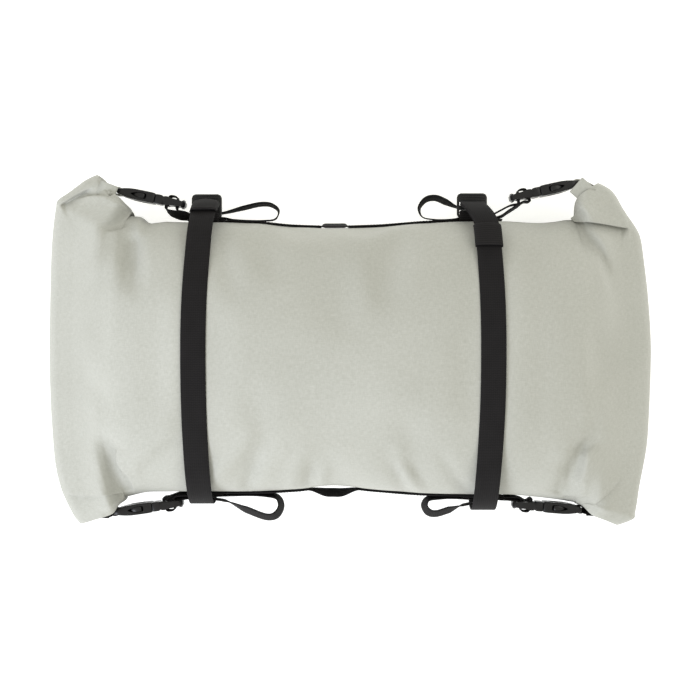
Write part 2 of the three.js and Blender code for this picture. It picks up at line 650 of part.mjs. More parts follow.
// A tab from the lip inside the roll to the buckle, looped round the buckle's rear bar. The two at the top
// are of the bag's own cloth, the two at the bottom of webbing.
function rollTab(name) {
  const [edge, end] = name.split('_');
  const side = end === 'left' ? -1 : 1;
  const sign = edge === 'top' ? 1 : -1;
  const frame = buckleFrame(name);
  const lipTurn = 1.25; // where the rolled lip stands upright
  const lip = ROLL.radius - ROLL.pitch * lipTurn - DOUBLE_LAYER - ROLL_TAB.thick - 4 * GAP;
  const inRoll = (w) => endPlan(side, ROLL.out + lip, sign * w, 0);
  const barFace = BUCKLE.rearBarHalf + GAP + ROLL_TAB.thick / 2 + 0.2;
  const loop = fromBuckle(frame, [
    [BUCKLE.rear - 8, 0.9],
    [BUCKLE.rear - 2, barFace - 0.3],
    [BUCKLE.rear + BUCKLE.bar / 2, barFace + 0.3],
    [BUCKLE.rear + BUCKLE.bar + 1.8, barFace - 1],
    [BUCKLE.rear + BUCKLE.bar + 2.4, 0],
    [BUCKLE.rear + BUCKLE.bar + 1.8, -barFace + 1],
    [BUCKLE.rear + BUCKLE.bar / 2, -barFace - 0.3],
    [BUCKLE.rear - 2, -barFace + 0.3],
    [BUCKLE.rear - 7, -1.1],
  ]);
  const lipRows = [0.88, 0.92, 0.955].map((w) => {
    const [x, y] = inRoll(w);
    return { x, y, z: ROLL_TAB.lipZ };
  });
  return strip(routeStations([...lipRows, ...loop], 1), ROLL_TAB);
}

// The assembly

const bag = new THREE.Group();

function piece(parent, name, geometry, finish) {
  const mesh = new THREE.Mesh(geometry, new THREE.MeshStandardMaterial(FINISHES[finish]));
  mesh.name = name;
  parent.add(mesh);
  return mesh;
}

piece(bag, 'fabric_shell', fabricShell(), 'fabric');

for (const name of Object.keys(MAIN_STRAPS)) {
  const path = strapPath(name);
  const lock = ladderLock(path);
  piece(bag, `main_strap_${name}`, strip(path, MAIN_STRAP, { ring: true }), 'webbing');
  piece(bag, `ladder_lock_${name}`, lock.geometry, 'plastic').position.copy(lock.place);
  piece(bag, `strap_keeper_${name}`, keeper(path, KEEPERS[name]), 'elastic');
}

for (const edge of Object.keys(EDGE_LOOPS)) piece(bag, `edge_webbing_${edge}`, edgeWebbing(edge), 'webbing');

for (const name of Object.keys(BUCKLES)) {
  const buckle = new THREE.Group();
  buckle.applyMatrix4(buckleFrame(name));
  bag.add(buckle);
  piece(buckle, `buckle_female_${name}`, buckleFemale(), 'plastic');
  piece(buckle, `buckle_male_${name}`, buckleMale(), 'plastic');
  piece(bag, `adjusting_strap_${name}`, adjustingStrap(name), 'webbing');
  piece(bag, `roll_tab_${name}`, rollTab(name), name.startsWith('top') ? 'fabric' : 'webbing');
}

export default bag;
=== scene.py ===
# %% [markdown]
# # A handlebar bag with rolled ends
#
# The bag is one tube of coated fabric, rolled shut at both ends. It lies on its back, with two black
# webbing straps round it and a quick-release buckle at each of its four corners. The CAD model gives
# every size and place. This file dresses it: cloth that sags and creases, woven straps, moulded buckles.
#
# The CAD frame comes first, because each piece below is placed by it. At the end the dressed bag's box
# is taken.

# %% Load the frame
import math

import bmesh
import bpy
import numpy as np
from mathutils import Matrix, Vector


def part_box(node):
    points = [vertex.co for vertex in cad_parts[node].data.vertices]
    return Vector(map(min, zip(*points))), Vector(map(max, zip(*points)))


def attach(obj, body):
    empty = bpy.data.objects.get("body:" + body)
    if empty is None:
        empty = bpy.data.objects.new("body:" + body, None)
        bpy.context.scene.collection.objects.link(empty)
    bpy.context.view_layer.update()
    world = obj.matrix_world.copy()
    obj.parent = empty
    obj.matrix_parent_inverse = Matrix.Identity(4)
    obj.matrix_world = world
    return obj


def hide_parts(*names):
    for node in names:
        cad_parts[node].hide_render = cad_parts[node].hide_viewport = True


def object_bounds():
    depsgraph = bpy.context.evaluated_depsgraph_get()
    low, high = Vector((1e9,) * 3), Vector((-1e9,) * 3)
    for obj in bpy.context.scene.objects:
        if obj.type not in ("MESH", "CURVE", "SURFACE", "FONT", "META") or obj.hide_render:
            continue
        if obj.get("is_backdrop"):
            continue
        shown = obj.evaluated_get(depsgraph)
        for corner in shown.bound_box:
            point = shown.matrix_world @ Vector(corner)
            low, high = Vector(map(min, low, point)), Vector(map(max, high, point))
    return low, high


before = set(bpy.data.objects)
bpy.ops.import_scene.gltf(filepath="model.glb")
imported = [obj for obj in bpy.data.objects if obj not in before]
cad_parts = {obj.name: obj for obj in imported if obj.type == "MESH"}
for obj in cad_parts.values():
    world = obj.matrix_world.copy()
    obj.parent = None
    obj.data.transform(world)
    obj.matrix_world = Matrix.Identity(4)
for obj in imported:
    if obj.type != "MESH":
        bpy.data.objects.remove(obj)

MM = 0.001
scene = bpy.context.scene
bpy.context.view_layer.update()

# %% [markdown]
# ## Camera
#
# The photograph was taken straight down on the front panel from almost two metres, with a long lens. A
# new camera in Blender already looks down -Z with +Y up, so it only needs its height and its angle.

# %% Camera
camera = bpy.data.objects.new("photo_camera", bpy.data.cameras.new("photo_camera"))
camera.data.angle = math.radians(22)
camera.location = (0.9 * MM, 0, 1.935)
scene.collection.objects.link(camera)
scene.camera = camera
print("camera height in m:", camera.location.z)

# %% [markdown]
# ## Shader sums
#
# A material is a tree of nodes, and its maths is easier to read as an expression than as a list of
# links. `Wire` stands for one output socket: adding or multiplying two wires adds a Math node. `Finish`
# holds one material, and its `node` method makes any other node: settings first, then sockets.

# %% Wires and finishes
class Wire:
    """An output socket of a node tree that Python can do sums with."""

    def __init__(self, finish, socket):
        self.finish = finish
        self.socket = socket

    def sum(self, operation, *values):
        return self.finish.node("ShaderNodeMath", {"operation": operation}, dict(enumerate(values)))

    def __add__(self, other):
        return self.sum("ADD", self, other)

    def __sub__(self, other):
        return self.sum("SUBTRACT", self, other)

    def __rsub__(self, other):
        return self.sum("SUBTRACT", other, self)

    def __mul__(self, other):
        return self.sum("MULTIPLY", self, other)

    def sine(self):
        return self.sum("SINE", self)

    def size(self):
        return self.sum("ABSOLUTE", self)

    __radd__ = __add__
    __rmul__ = __mul__


class Finish:
    """One material, built node by node."""

    def __init__(self, name):
        self.material = bpy.data.materials.new(name)
        self.material.use_nodes = True
        self.tree = self.material.node_tree
        self.tree.nodes.clear()

    def node(self, kind, settings=None, sockets=None, out=0):
        made = self.tree.nodes.new(kind)
        for key, value in (settings or {}).items():
            setattr(made, key, value)
        for key, value in (sockets or {}).items():
            if isinstance(value, Wire):
                self.tree.links.new(value.socket, made.inputs[key])
            else:
                made.inputs[key].default_value = value
        return Wire(self, made.outputs[out])

    def mix(self, share, dark, light):
        """A colour between two colours."""
        sockets = {0: share, 6: dark, 7: light}
        return self.node("ShaderNodeMix", {"data_type": "RGBA"}, sockets, out=2)

    def times(self, where, sizes):
        """A place multiplied by a size for each axis."""
        return self.node("ShaderNodeVectorMath", {"operation": "MULTIPLY"}, {0: where, 1: sizes})

    def noise(self, where, scale, detail=2.0):
        sockets = {"Vector": where, "Scale": scale, "Detail": detail}
        return self.node("ShaderNodeTexNoise", {"noise_dimensions": "3D"}, sockets)

    def place(self):
        return self.node("ShaderNodeTexCoord", out=3)

    def cloth(self):
        """The two ways along the cloth, in metres, from the piece's own UV map."""
        flat = self.node("ShaderNodeUVMap", {"uv_map": "cloth"})
        apart = self.tree.nodes.new("ShaderNodeSeparateXYZ")
        self.tree.links.new(flat.socket, apart.inputs[0])
        return flat, Wire(self, apart.outputs[0]), Wire(self, apart.outputs[1])

    def surface(self, height=None, bump=0.3, depth=0.0002, **sockets):
        """Ends the tree with a Principled shader. A height feeds its Bump."""
        if height is not None:
            shape = {"Strength": bump, "Distance": depth, "Height": height}
            sockets["Normal"] = self.node("ShaderNodeBump", None, shape)
        named = {key.replace("_", " "): value for key, value in sockets.items()}
        shader = self.node("ShaderNodeBsdfPrincipled", None, named)
        end = self.tree.nodes.new("ShaderNodeOutputMaterial")
        self.tree.links.new(shader.socket, end.inputs["Surface"])
        return self.material


print("shader helpers ready")

# %% [markdown]
# ## Coated fabric
#
# The bag's cloth is a fine plain weave with a matt coating, grey with a little green in it. Seen from two
# metres the single threads blur to a soft grain, and the colour drifts slightly from place to place. The
# weave is drawn on the UV map, which holds the flat cloth in metres, so the threads follow the tube and
# its folds. Noise on the object's own coordinates would cut straight through them.

# %% Fabric finish
THREAD_STEP = 0.9 * MM
fabric = Finish("coated_fabric")
flat, along, round_ = fabric.cloth()
warp = (along * (2 * math.pi / THREAD_STEP)).sine()
weft = (round_ * (2 * math.pi / THREAD_STEP)).sine()
threads = warp * weft
warp_slubs = fabric.noise(fabric.times(flat, (0.2, 1, 1)), 1000, 3)
weft_slubs = fabric.noise(fabric.times(flat, (1, 0.2, 1)), 1000, 3)
mottle = fabric.noise(flat, 260, 2)
drift = fabric.noise(flat, 12, 2)
grain = warp_slubs * 0.45 + weft_slubs * 0.45 + mottle * 0.3 + drift * 0.3 + threads * 0.05 - 0.25
fabric_colour = fabric.mix(grain, (0.305, 0.306, 0.269, 1), (0.518, 0.520, 0.488, 1))
fabric_material = fabric.surface(
    height=threads * 0.3 + warp_slubs + weft_slubs + mottle * 0.6,
    bump=0.22,
    depth=0.2 * MM,
    Base_Color=fabric_colour,
    Roughness=0.66 + drift * 0.16,
    Specular_IOR_Level=0.3,
    Sheen_Weight=0.08,
    Sheen_Roughness=0.5,
)
print("fabric nodes:", len(fabric.tree.nodes))

# %% [markdown]
# ## Webbing
#
# The straps are black polyester webbing. Its warp runs lengthwise in ribs about 2 mm wide, and the picks
# cross them every 1.7 mm. Ribs and picks are two sine waves on the UV map, where u runs along the strap
# and v across it. Their sum gives the small humps of the weave, and the tops are painted a little paler
# as a painted highlight.
# The keepers' elastic has finer ribs, and the sewing thread is a noise, because it is only a dot wide.

# %% Webbing finish
def woven(name, rib, pick, dark, light, bump):
    """A finish of ribs along the strap and picks across it, which lie so far apart."""
    finish = Finish(name)
    flat, along, across = finish.cloth()
    ribs = (across * (math.pi / rib)).sine().size()
    picks = (along * (2 * math.pi / pick) + (across * (math.pi / rib)).sine() * 0.7).sine()
    fuzz = finish.noise(flat, 1700, 2)
    wear = finish.noise(flat, 60, 3)
    humps = picks * 0.36 + ribs * 0.28 + 0.36
    # the humps' share of the colour is a painted highlight on the weave's tops; fuzz and wear vary it at
    # random
    highlight_and_tone = humps * 0.6 + fuzz * 0.3 + wear * 0.4 - 0.3
    return finish.surface(
        height=humps + fuzz * 0.4,
        bump=bump,
        depth=0.25 * MM,
        Base_Color=finish.mix(highlight_and_tone, dark, light),
        Roughness=0.92 - humps * 0.15,
        Specular_IOR_Level=0.2,
    )


webbing_material = woven(
    "webbing", 2.1 * MM, 1.7 * MM, (0.0038, 0.0033, 0.0036, 1), (0.0160, 0.0144, 0.0154, 1), 0.55
)
elastic_material = woven(
    "elastic", 0.8 * MM, 2.4 * MM, (0.0048, 0.0043, 0.0045, 1), (0.0185, 0.0167, 0.0174, 1), 0.6
)
thread = Finish("sewing_thread")
twist = thread.noise(thread.place(), 2200, 2)
thread_material = thread.surface(
    height=twist,
    bump=0.4,
    depth=0.1 * MM,
    Base_Color=thread.mix(twist, (0.006, 0.0055, 0.006, 1), (0.040, 0.038, 0.040, 1)),
    Roughness=0.75 - twist * 0.2,
)
print("woven finishes:", webbing_material.name, elastic_material.name, thread_material.name)

# %% [markdown]
# ## Moulded plastic
#
# Buckles and ladder locks are moulded in black acetal: smooth, with a fine sparked grain from the mould
# and a satin gloss. The grain is noise at a fraction of a millimetre, and a slower noise varies the gloss
# the way handling does.

# %% Plastic finish
plastic = Finish("moulded_plastic")
where = plastic.place()
spark = plastic.noise(where, 2600, 2)
handled = plastic.noise(where, 70, 3)
plastic_material = plastic.surface(
    height=spark,
    bump=0.12,
    depth=0.1 * MM,
    Base_Color=plastic.mix(
        handled * 0.7 + spark * 0.3, (0.0030, 0.0028, 0.0032, 1), (0.0100, 0.0094, 0.0104, 1)
    ),
    Roughness=0.16 + handled * 0.2 + spark * 0.08,
    Specular_IOR_Level=0.32,
)
print("plastic nodes:", len(plastic.tree.nodes))

# %% [markdown]
# ## The bag's measured sections
#
# The CAD source gives the bag as a row of cross-sections, and much the same numbers are used here, in
# millimetres. Some are moved a little towards the photograph. Between two sections a column of numbers
# follows a smooth curve that never overshoots, so that a strap pulls the bag in without a ripple beside
# it.

# %% Sections
# the body's sections: their places along the bag, and where their edges and panels lie
BODY_X = [-229.4, -213, -203, -190, -170, -141, -100, -55, -18, 25, 80, 129, 158, 195, 231.8]
BODY = {
    "top": [137, 136.3, 130, 132.4, 132, 132, 131, 127, 126, 127, 131, 133, 133, 131, 134],
    "bottom": [-149, -147, -146, -146, -146, -146, -146, -144, -140, -144, -148, -149, -149, -151.5, -156],
    "front": [132.5, 143, 149.3, 157, 166.5, 168, 174, 176, 176, 176, 174, 168.5, 167.5, 154.5, 133],
    "back": [10, 6.1, 4.1, 3, 2.1, 2.1, 0.6, 0.6, 0.6, 0.6, 0.6, 2.1, 2.1, 4, 10],
}
# the flaps' sections, by how far out of the neck they lie
END_OUT = [0, 16, 32, 44, 54]
END = {
    "front": [133, 122, 110.5, 101.5, 94],
    "back": [10, 24, 50, 76, 89.6],
    "edge": [70, 74, 82, 89, 91.8],
}
EDGE_Z = 70.0
NECK_X = {-1: -229.4, 1: 231.8}
FRONT_SQUARENESS, BACK_SQUARENESS, FLAT_SQUARENESS = 2.3, 2.6, 14.0
BACK_SAG = 8.0


def column(keys, values, at):
    """Values of a column between its rows, on a smooth curve that never overshoots a row."""
    keys, values = np.asarray(keys, float), np.asarray(values, float)
    slope = np.diff(values) / np.diff(keys)
    both = slope[:-1] * slope[1:]
    together = np.where(both > 0, slope[:-1] + slope[1:], 1)
    tangent = np.r_[slope[0], np.where(both > 0, 2 * both / together, 0), slope[-1]]
    at = np.clip(at, keys[0], keys[-1])
    i = np.clip(np.searchsorted(keys, at) - 1, 0, len(keys) - 2)
    span = keys[i + 1] - keys[i]
    t = (at - keys[i]) / span
    rise = tangent[i] * span * t * (1 - t) ** 2 - tangent[i + 1] * span * t**2 * (1 - t)
    return values[i] + (values[i + 1] - values[i]) * t * t * (3 - 2 * t) + rise


def panel_height(front, back, edge, h):
    """Height of the front panel for h above 0, and of the back panel, flat where it rests, below."""
    sag = BACK_SAG * np.clip(1 - back / 30, 0, 1)
    low = np.maximum(edge + h * (edge - back + sag), back)
    return np.where(h >= 0, edge + h * (front - edge), low)


def smooth(value, low, high):
    """A soft step from 0 at low to 1 at high."""
    t = np.clip((value - low) / (high - low), 0, 1)
    return t * t * (3 - 2 * t)


print("front at the middle in mm:", round(float(column(BODY_X, BODY["front"], 0)), 1))

# %% [markdown]
# ## Dents and ridges
#
# Where the tube turns into the flat rolled ends there is cloth to spare at the four corners, and it
# falls into a few big dents with a ridge beside each. Further in, faint wrinkles run from the sewn edges.
# Every fold is a line on the front panel with a height and a half width. They could be sculpted by hand,
# but rows of numbers are easy to move. They are the starting shape, which the cloth simulation softens.

# %% Folds
FOLDS = np.array(  # from x, y to x, y, height, half width
    [
        # the corners' dents and ridges: top left, top right, bottom left, bottom right
        (-221, 122, -214, 68, -9, 11),
        (-240, 112, -231, 76, 2, 16),
        (230, 133, 286, 126, -6, 6),
        (234, 144, 280, 138, 5, 8),
        (240, 120, 262, 84, -7, 9),
        (256, 116, 272, 90, 3, 9),
        (-241, -98, -232, -142, -8, 15),
        (-254, -104, -250, -142, 2, 16),
        (233, -100, 218, -146, -11, 10),
        (244, -104, 238, -146, 9, 8),
        (252, -160, 284, -131, -4, 6),
        # the body's faint wrinkles
        (-20, -132, -22, -108, -3, 9),
        (10, 118, 15, 58, 2.4, 13),
        (46, 112, 36, 62, -2.4, 13),
        (78, 116, 66, 66, 1.8, 12),
        (-126, 108, -116, 62, -2.4, 10),
        (-88, 114, -76, 80, -2.0, 11),
        (-214, -112, -178, -78, 3.0, 8),
        (-204, -120, -170, -92, -3.0, 8),
        (-124, -118, -98, -82, 2.8, 8),
        (-109, -124, -84, -92, -2.8, 8),
        (-84, -126, -66, -100, 2.4, 8),
        (-60, -126, -44, -98, 2.8, 8),
        (40, -126, 34, -104, -2.4, 8),
        (58, -126, 50, -100, 2.4, 8),
        (196, -106, 216, -72, -2.2, 10),
    ],
    float,
)


def fold_height(x, y):
    """Height that the folds add to the front panel at a place."""
    height = np.zeros(np.broadcast(x, y).shape)
    for x0, y0, x1, y1, tall, wide in FOLDS:
        length = math.hypot(x1 - x0, y1 - y0)
        along = ((x - x0) * (x1 - x0) + (y - y0) * (y1 - y0)) / length
        aside = ((x - x0) * (y1 - y0) - (y - y0) * (x1 - x0)) / length
        past = np.maximum(0, np.maximum(-along, along - length))
        height += tall * np.exp(-(aside**2 + past**2) / wide**2)
    return height


print("folds:", len(FOLDS))

# %% [markdown]
# ## The flat cloth
#
# The skin starts as a flat grid, the cloth as it was cut: one way along the bag, the other round it.
# Each grid line round the bag gets its place in a cross-section. w runs from the bottom edge at -1 to the
# top edge at 1, h from the back at -1 to the front at 1. Near the rolled ends the section flattens, and
# the cloth spreads evenly over the flat width. The seam runs down the middle of the back.

# %% Cloth round a section
FRONT_STEPS, BACK_STEPS = 52, 44
HALF_WIDE, FRONT_DEEP, BACK_DEEP = 139, 104, 69  # of a section near the middle of the bag


def even_steps(high, squareness, count):
    """w at even steps of cloth from the top edge of a section, over one panel, to the bottom edge."""
    angle = np.linspace(0, math.pi, 2001)
    w = np.sign(np.cos(angle)) * np.abs(np.cos(angle)) ** (2 / squareness)
    h = np.abs(np.sin(angle)) ** (2 / squareness)
    length = np.r_[0, np.cumsum(np.hypot(np.diff(w * HALF_WIDE), np.diff(h * high)))]
    return np.interp(np.linspace(0, length[-1], count + 1), length, w), length[-1]


front_w, front_cloth = even_steps(FRONT_DEEP, FRONT_SQUARENESS, FRONT_STEPS)
back_w, back_cloth = even_steps(BACK_DEEP, BACK_SQUARENESS, BACK_STEPS)
half_back = BACK_STEPS // 2
full_w = np.r_[back_w[half_back::-1], front_w[1:], back_w[-2 : half_back - 1 : -1]]
flat_front, flat_back = np.linspace(1, -1, FRONT_STEPS + 1), np.linspace(1, -1, BACK_STEPS + 1)
flat_w = np.r_[flat_back[half_back::-1], flat_front[1:], flat_back[-2 : half_back - 1 : -1]]
panel = np.r_[-np.ones(half_back), np.ones(FRONT_STEPS + 1), -np.ones(half_back)]
round_cloth = np.r_[
    np.linspace(0, back_cloth / 2, half_back + 1),
    back_cloth / 2 + np.linspace(0, front_cloth, FRONT_STEPS + 1)[1:],
    back_cloth / 2 + front_cloth + np.linspace(0, back_cloth / 2, half_back + 1)[1:],
]


def section(share):
    """w and h of each grid line round the bag, for a section flattened by that share."""
    w = full_w + (flat_w - full_w) * share
    squareness = np.where(panel > 0, FRONT_SQUARENESS, BACK_SQUARENESS)
    squareness = squareness + (FLAT_SQUARENESS - squareness) * share**3
    return w, panel * (1 - np.abs(w) ** squareness) ** (1 / squareness)


print("cloth round the bag in mm:", round(front_cloth + back_cloth), "grid lines:", len(full_w))

# %% [markdown]
# ## Where each grid line lies
#
# Along the bag the grid passes through three regions: the body, the flaps that close it, and the rolls.
# A roll is a flattened spiral, turned towards the back. Its corners are bent in towards the bag by the
# buckles. So an end is first taken as straight, and then moved towards the bent line of its cut edge, by
# a share that grows from none in the middle to all at the corner.

# %% Body, flaps and rolls
ROLL = {"out": 62, "z": 60, "radius": 20, "pitch": 9.5, "stretch": 1.25, "start": 0.09, "turns": 1.3}
ROLL_OUT = 82
COIL_RECESS = 0.055
DOUBLE_LAYER = 2.2
FLAP_LONG, FLAP_ROWS, ROLL_ROWS, BODY_ROWS = 54, 9, 18, 57
CORNERS = {  # side and edge: the cut edge from neck (t 0) to peak (t 1), and the share bent in at each w
    (-1, 1): {
        "t": [0, 0.3, 0.45, 0.6, 0.85, 1],
        "x": [-221, -227, -233, -240.5, -249.5, -264.5],
        "y": [136, 148.5, 154.5, 160.5, 174, 184],
        "w": [0, 0.1, 0.5, 0.84, 0.87, 1],
        "share": [0, 0.004, 0.035, 0.165, 0.32, 1],
    },
    (1, 1): {
        "t": [0, 0.25, 0.5, 0.8, 1],
        "x": [224, 230, 234, 250, 260],
        "y": [133, 143.5, 155, 168.5, 174],
        "w": [0, 0.1, 0.3, 0.54, 0.668, 0.846, 0.945, 1],
        "share": [0, 0.012, 0.055, 0.143, 0.206, 0.552, 0.745, 1],
    },
    (-1, -1): {
        "t": [0, 0.35, 0.5, 0.65, 1],
        "x": [-227, -235, -242, -252.5, -281],
        "y": [-148, -159.5, -167, -171.5, -181],
        "w": [0, 0.1, 0.3, 0.5, 0.64, 0.78, 0.9, 1],
        "share": [0, 0.005, 0.04, 0.115, 0.19, 0.37, 0.67, 1],
    },
    (1, -1): {
        "t": [0, 0.3, 0.5, 0.65, 1],
        "x": [229, 240, 250, 259, 280],
        "y": [-155.5, -161, -169.5, -173, -182.5],
        "w": [0, 0.1, 0.25, 0.5, 0.776, 0.965, 1],
        "share": [0, 0.012, 0.04, 0.11, 0.36, 0.55, 1],
    },
}


def body_row(x, w, h):
    """Points round one section of the body."""
    top, bottom, front, back = (column(BODY_X, BODY[name], x) for name in ("top", "bottom", "front", "back"))
    y = np.where(w >= 0, w * top, -w * bottom)
    z = panel_height(front, back, EDGE_Z, h) + np.maximum(h, 0) * fold_height(x, y)
    return np.stack([np.broadcast_to(x, y.shape), y, z], -1)


def end_plan(side, out, w):
    """Seen from the front, where a place in a rolled end lies once its corners are bent in."""
    t = out / ROLL_OUT
    straight = NECK_X[side] + side * out
    plans = []
    for edge in (1, -1):
        corner = CORNERS[side, edge]
        edge_x, edge_y = (column(corner["t"], corner[axis], t) for axis in "xy")
        share = column(corner["w"], corner["share"], np.abs(w))
        plans.append((straight + (edge_x - straight) * share, np.abs(w) * edge_y))
    return np.where(w >= 0, plans[0][0], plans[1][0]), np.where(w >= 0, plans[0][1], plans[1][1])


def flap_row(side, out, w, h):
    """Points round one section of a flap, so far out of the neck."""
    front, back, edge = (column(END_OUT, END[name], out) for name in ("front", "back", "edge"))
    x, y = end_plan(side, out, w)
    fading = 1 - np.clip((out - 30) / 16, 0, 1)
    z = panel_height(front, back, edge, h) + np.maximum(h, 0) * fading * fold_height(x, y)
    return np.stack([x, y, z], -1)


def roll_row(side, turn, w, h):
    """Points across a roll after some turns, on both layers of the flattened cloth."""
    angle = 2 * math.pi * turn
    radius = ROLL["radius"] - ROLL["pitch"] * turn + h * DOUBLE_LAYER
    recess = COIL_RECESS * smooth(turn, 0.3, 0.75)
    x, y = end_plan(side, ROLL["out"] + radius * math.sin(angle), w * (1 - recess))
    return np.stack([x, y, ROLL["z"] + ROLL["stretch"] * radius * math.cos(angle)], -1)


def end_rows(side):
    """Rows of one end, from its neck outwards into the roll, without the neck itself."""
    outs = np.linspace(0, FLAP_LONG, FLAP_ROWS + 1)[1:]
    turns = np.linspace(ROLL["start"], ROLL["turns"], ROLL_ROWS)
    flaps = [flap_row(side, out, *section(smooth(out, 0, FLAP_LONG))) for out in outs]
    rolls = [roll_row(side, turn, *section(1)) for turn in turns]
    bridge = [flaps[-1] + (rolls[0] - flaps[-1]) * t for t in (1 / 3, 2 / 3)]
    return flaps + bridge + rolls


body_rows = [body_row(x, *section(0)) for x in np.linspace(NECK_X[-1], NECK_X[1], BODY_ROWS)]
skin = np.array(end_rows(-1)[::-1] + body_rows + end_rows(1))
steps = np.linalg.norm(np.diff(skin, axis=0), axis=2).mean(axis=1)
along_cloth = np.r_[0, np.cumsum(steps)]
print("skin grid:", skin.shape, "cloth along the bag in mm:", round(along_cloth[-1]))

# %% [markdown]
# ## Wrapping the grid
#
# `create_grid` makes the flat cloth with all its faces. Its vertices are then moved to the places worked
# out above, the two long edges are merged into the seam, and the UV map keeps each point's place on the
# flat cloth. An integer layer remembers which grid point a vertex was, which the simulation needs later.

# %% Wrapped grid
def wrapped_grid(points, u, v):
    """A bmesh of a flat grid whose points go to points[i][j], in mm, and whose flat cloth is u by v."""
    bm = bmesh.new()
    rows, columns = len(u) - 1, len(v) - 1
    bmesh.ops.create_grid(bm, x_segments=rows, y_segments=columns, size=0.5)
    flat = bm.loops.layers.uv.new("cloth")
    place = bm.verts.layers.int.new("place")
    for vert in bm.verts:
        i, j = round((vert.co.x + 0.5) * rows), round((vert.co.y + 0.5) * columns)
        vert[place] = i * (columns + 1) + j
        vert.co = Vector(points[i][j]) * MM
    for face in bm.faces:
        for loop in face.loops:
            i, j = divmod(loop.vert[place], columns + 1)
            loop[flat].uv = (u[i] * MM, v[j] * MM)
    bmesh.ops.remove_doubles(bm, verts=bm.verts, dist=1e-6)
    bmesh.ops.recalc_face_normals(bm, faces=bm.faces)
    return bm


def made_object(name, bm):
    """Puts a finished bmesh into the scene as a smoothly shaded object."""
    mesh = bpy.data.meshes.new(name)
    bm.to_mesh(mesh)
    bm.free()
    mesh.shade_smooth()
    made = bpy.data.objects.new(name, mesh)
    scene.collection.objects.link(made)
    return made


trial = made_object("trial_cloth", wrapped_grid(skin, along_cloth, round_cloth))
print("trial cloth faces:", len(trial.data.polygons))

# %% [markdown]
# ## Letting the cloth settle
#
# Cloth never lies as smoothly as a formula. A short simulation gives it some slack, most of all at the
# four corners, blows it up a little from inside, and lets it buckle where there is cloth to spare. The
# rolls, the strips under the straps and the sewn edges are pinned, because they can't move on the real
# bag. Slack and pins are vertex groups: a weight of 1 holds a point still, or keeps its cloth taut.

# %% Slack and pins
def places_of(made):
    """The piece's vertices in millimetres."""
    flat = np.zeros(len(made.data.vertices) * 3, np.float32)
    made.data.vertices.foreach_get("co", flat)
    return flat.reshape(-1, 3).astype(float) / MM


def weigh(made, name, weights):
    """A vertex group from an array of weights, in steps of one per cent."""
    group = made.vertex_groups.new(name=name)
    for percent in range(1, 101):
        chosen = np.flatnonzero(np.round(weights * 100) == percent)
        if len(chosen):
            group.add(chosen.tolist(), percent / 100, "REPLACE")


STRAP_X = {"left": -153.3, "right": 142}
at = places_of(trial)
place = np.zeros(len(at), np.int32)
trial.data.attributes["place"].data.foreach_get("value", place)
row, line = np.divmod(place, len(full_w))
end_steps = len(end_rows(1))
from_end = np.minimum(row, skin.shape[0] - 1 - row)
rolled = 1 - smooth(from_end, end_steps - 9, end_steps - 4)
strapped = np.max([1 - smooth(np.abs(at[:, 0] - x), 13, 26) for x in STRAP_X.values()], axis=0)
sewn = (1 - smooth(np.abs(at[:, 2] - EDGE_Z), 9, 20)) * (np.abs(at[:, 0] + 4) < 166) * (np.abs(at[:, 1]) > 90)
resting = 1 - smooth(at[:, 2], 4, 14)
outline = (1 - smooth(np.abs(at[:, 2] - EDGE_Z), 16, 40)) * (np.abs(at[:, 0]) < 240) * (np.abs(at[:, 1]) > 90)
held = np.clip(np.max([rolled, strapped * 0.9, sewn, resting * 0.8], axis=0), 0, 1)
neck = 1 - smooth(np.abs(np.abs(at[:, 0]) - 236), 10, 55)
corner = neck * smooth(np.abs(at[:, 1]), 50, 120)
slack = np.clip(0.18 + 0.35 * neck + 0.8 * corner, 0, 1)
weigh(trial, "held", held)
weigh(trial, "taut", 1 - slack)
print("pinned points:", int((held > 0.99).sum()), "of", len(held))

# %% [markdown]
# ## Running the simulation
#
# A simulation on the finished mesh would take minutes. It runs on the coarse trial cloth instead, and
# only the way that each point moved is kept, so no Cloth modifier stays. A move is capped, and a point
# may not push out through a strap or change the bag's outline. Averaging each move with its neighbours
# removes the jitter that a coarse cloth has.

# %% Simulation
MOST_MOVED = 13


def settle(made, frames, pressure, slack_share, stiffness):
    """Runs the cloth for some frames and gives the places of its vertices in millimetres."""
    cloth = made.modifiers.new("cloth", "CLOTH")
    how = cloth.settings
    how.quality = 7
    how.mass = 0.25
    how.air_damping = 6
    how.tension_stiffness = how.compression_stiffness = 60
    how.shear_stiffness = 25
    how.bending_stiffness = stiffness
    how.tension_damping = how.compression_damping = how.shear_damping = 12
    how.bending_damping = 1
    how.vertex_group_mass = "held"
    how.pin_stiffness = 1
    how.vertex_group_shrink = "taut"
    how.shrink_min, how.shrink_max = -slack_share, 0
    how.use_pressure = True
    how.uniform_pressure_force = pressure
    how.effector_weights.gravity = 0
    cloth.collision_settings.use_collision = False
    cloth.point_cache.frame_start, cloth.point_cache.frame_end = 1, frames
    for number in range(1, frames + 1):
        scene.frame_set(number)
    settled = made.evaluated_get(bpy.context.evaluated_depsgraph_get()).to_mesh()
    flat = np.zeros(len(settled.vertices) * 3, np.float32)
    settled.vertices.foreach_get("co", flat)
    scene.frame_set(1)
    return flat.reshape(-1, 3).astype(float) / MM


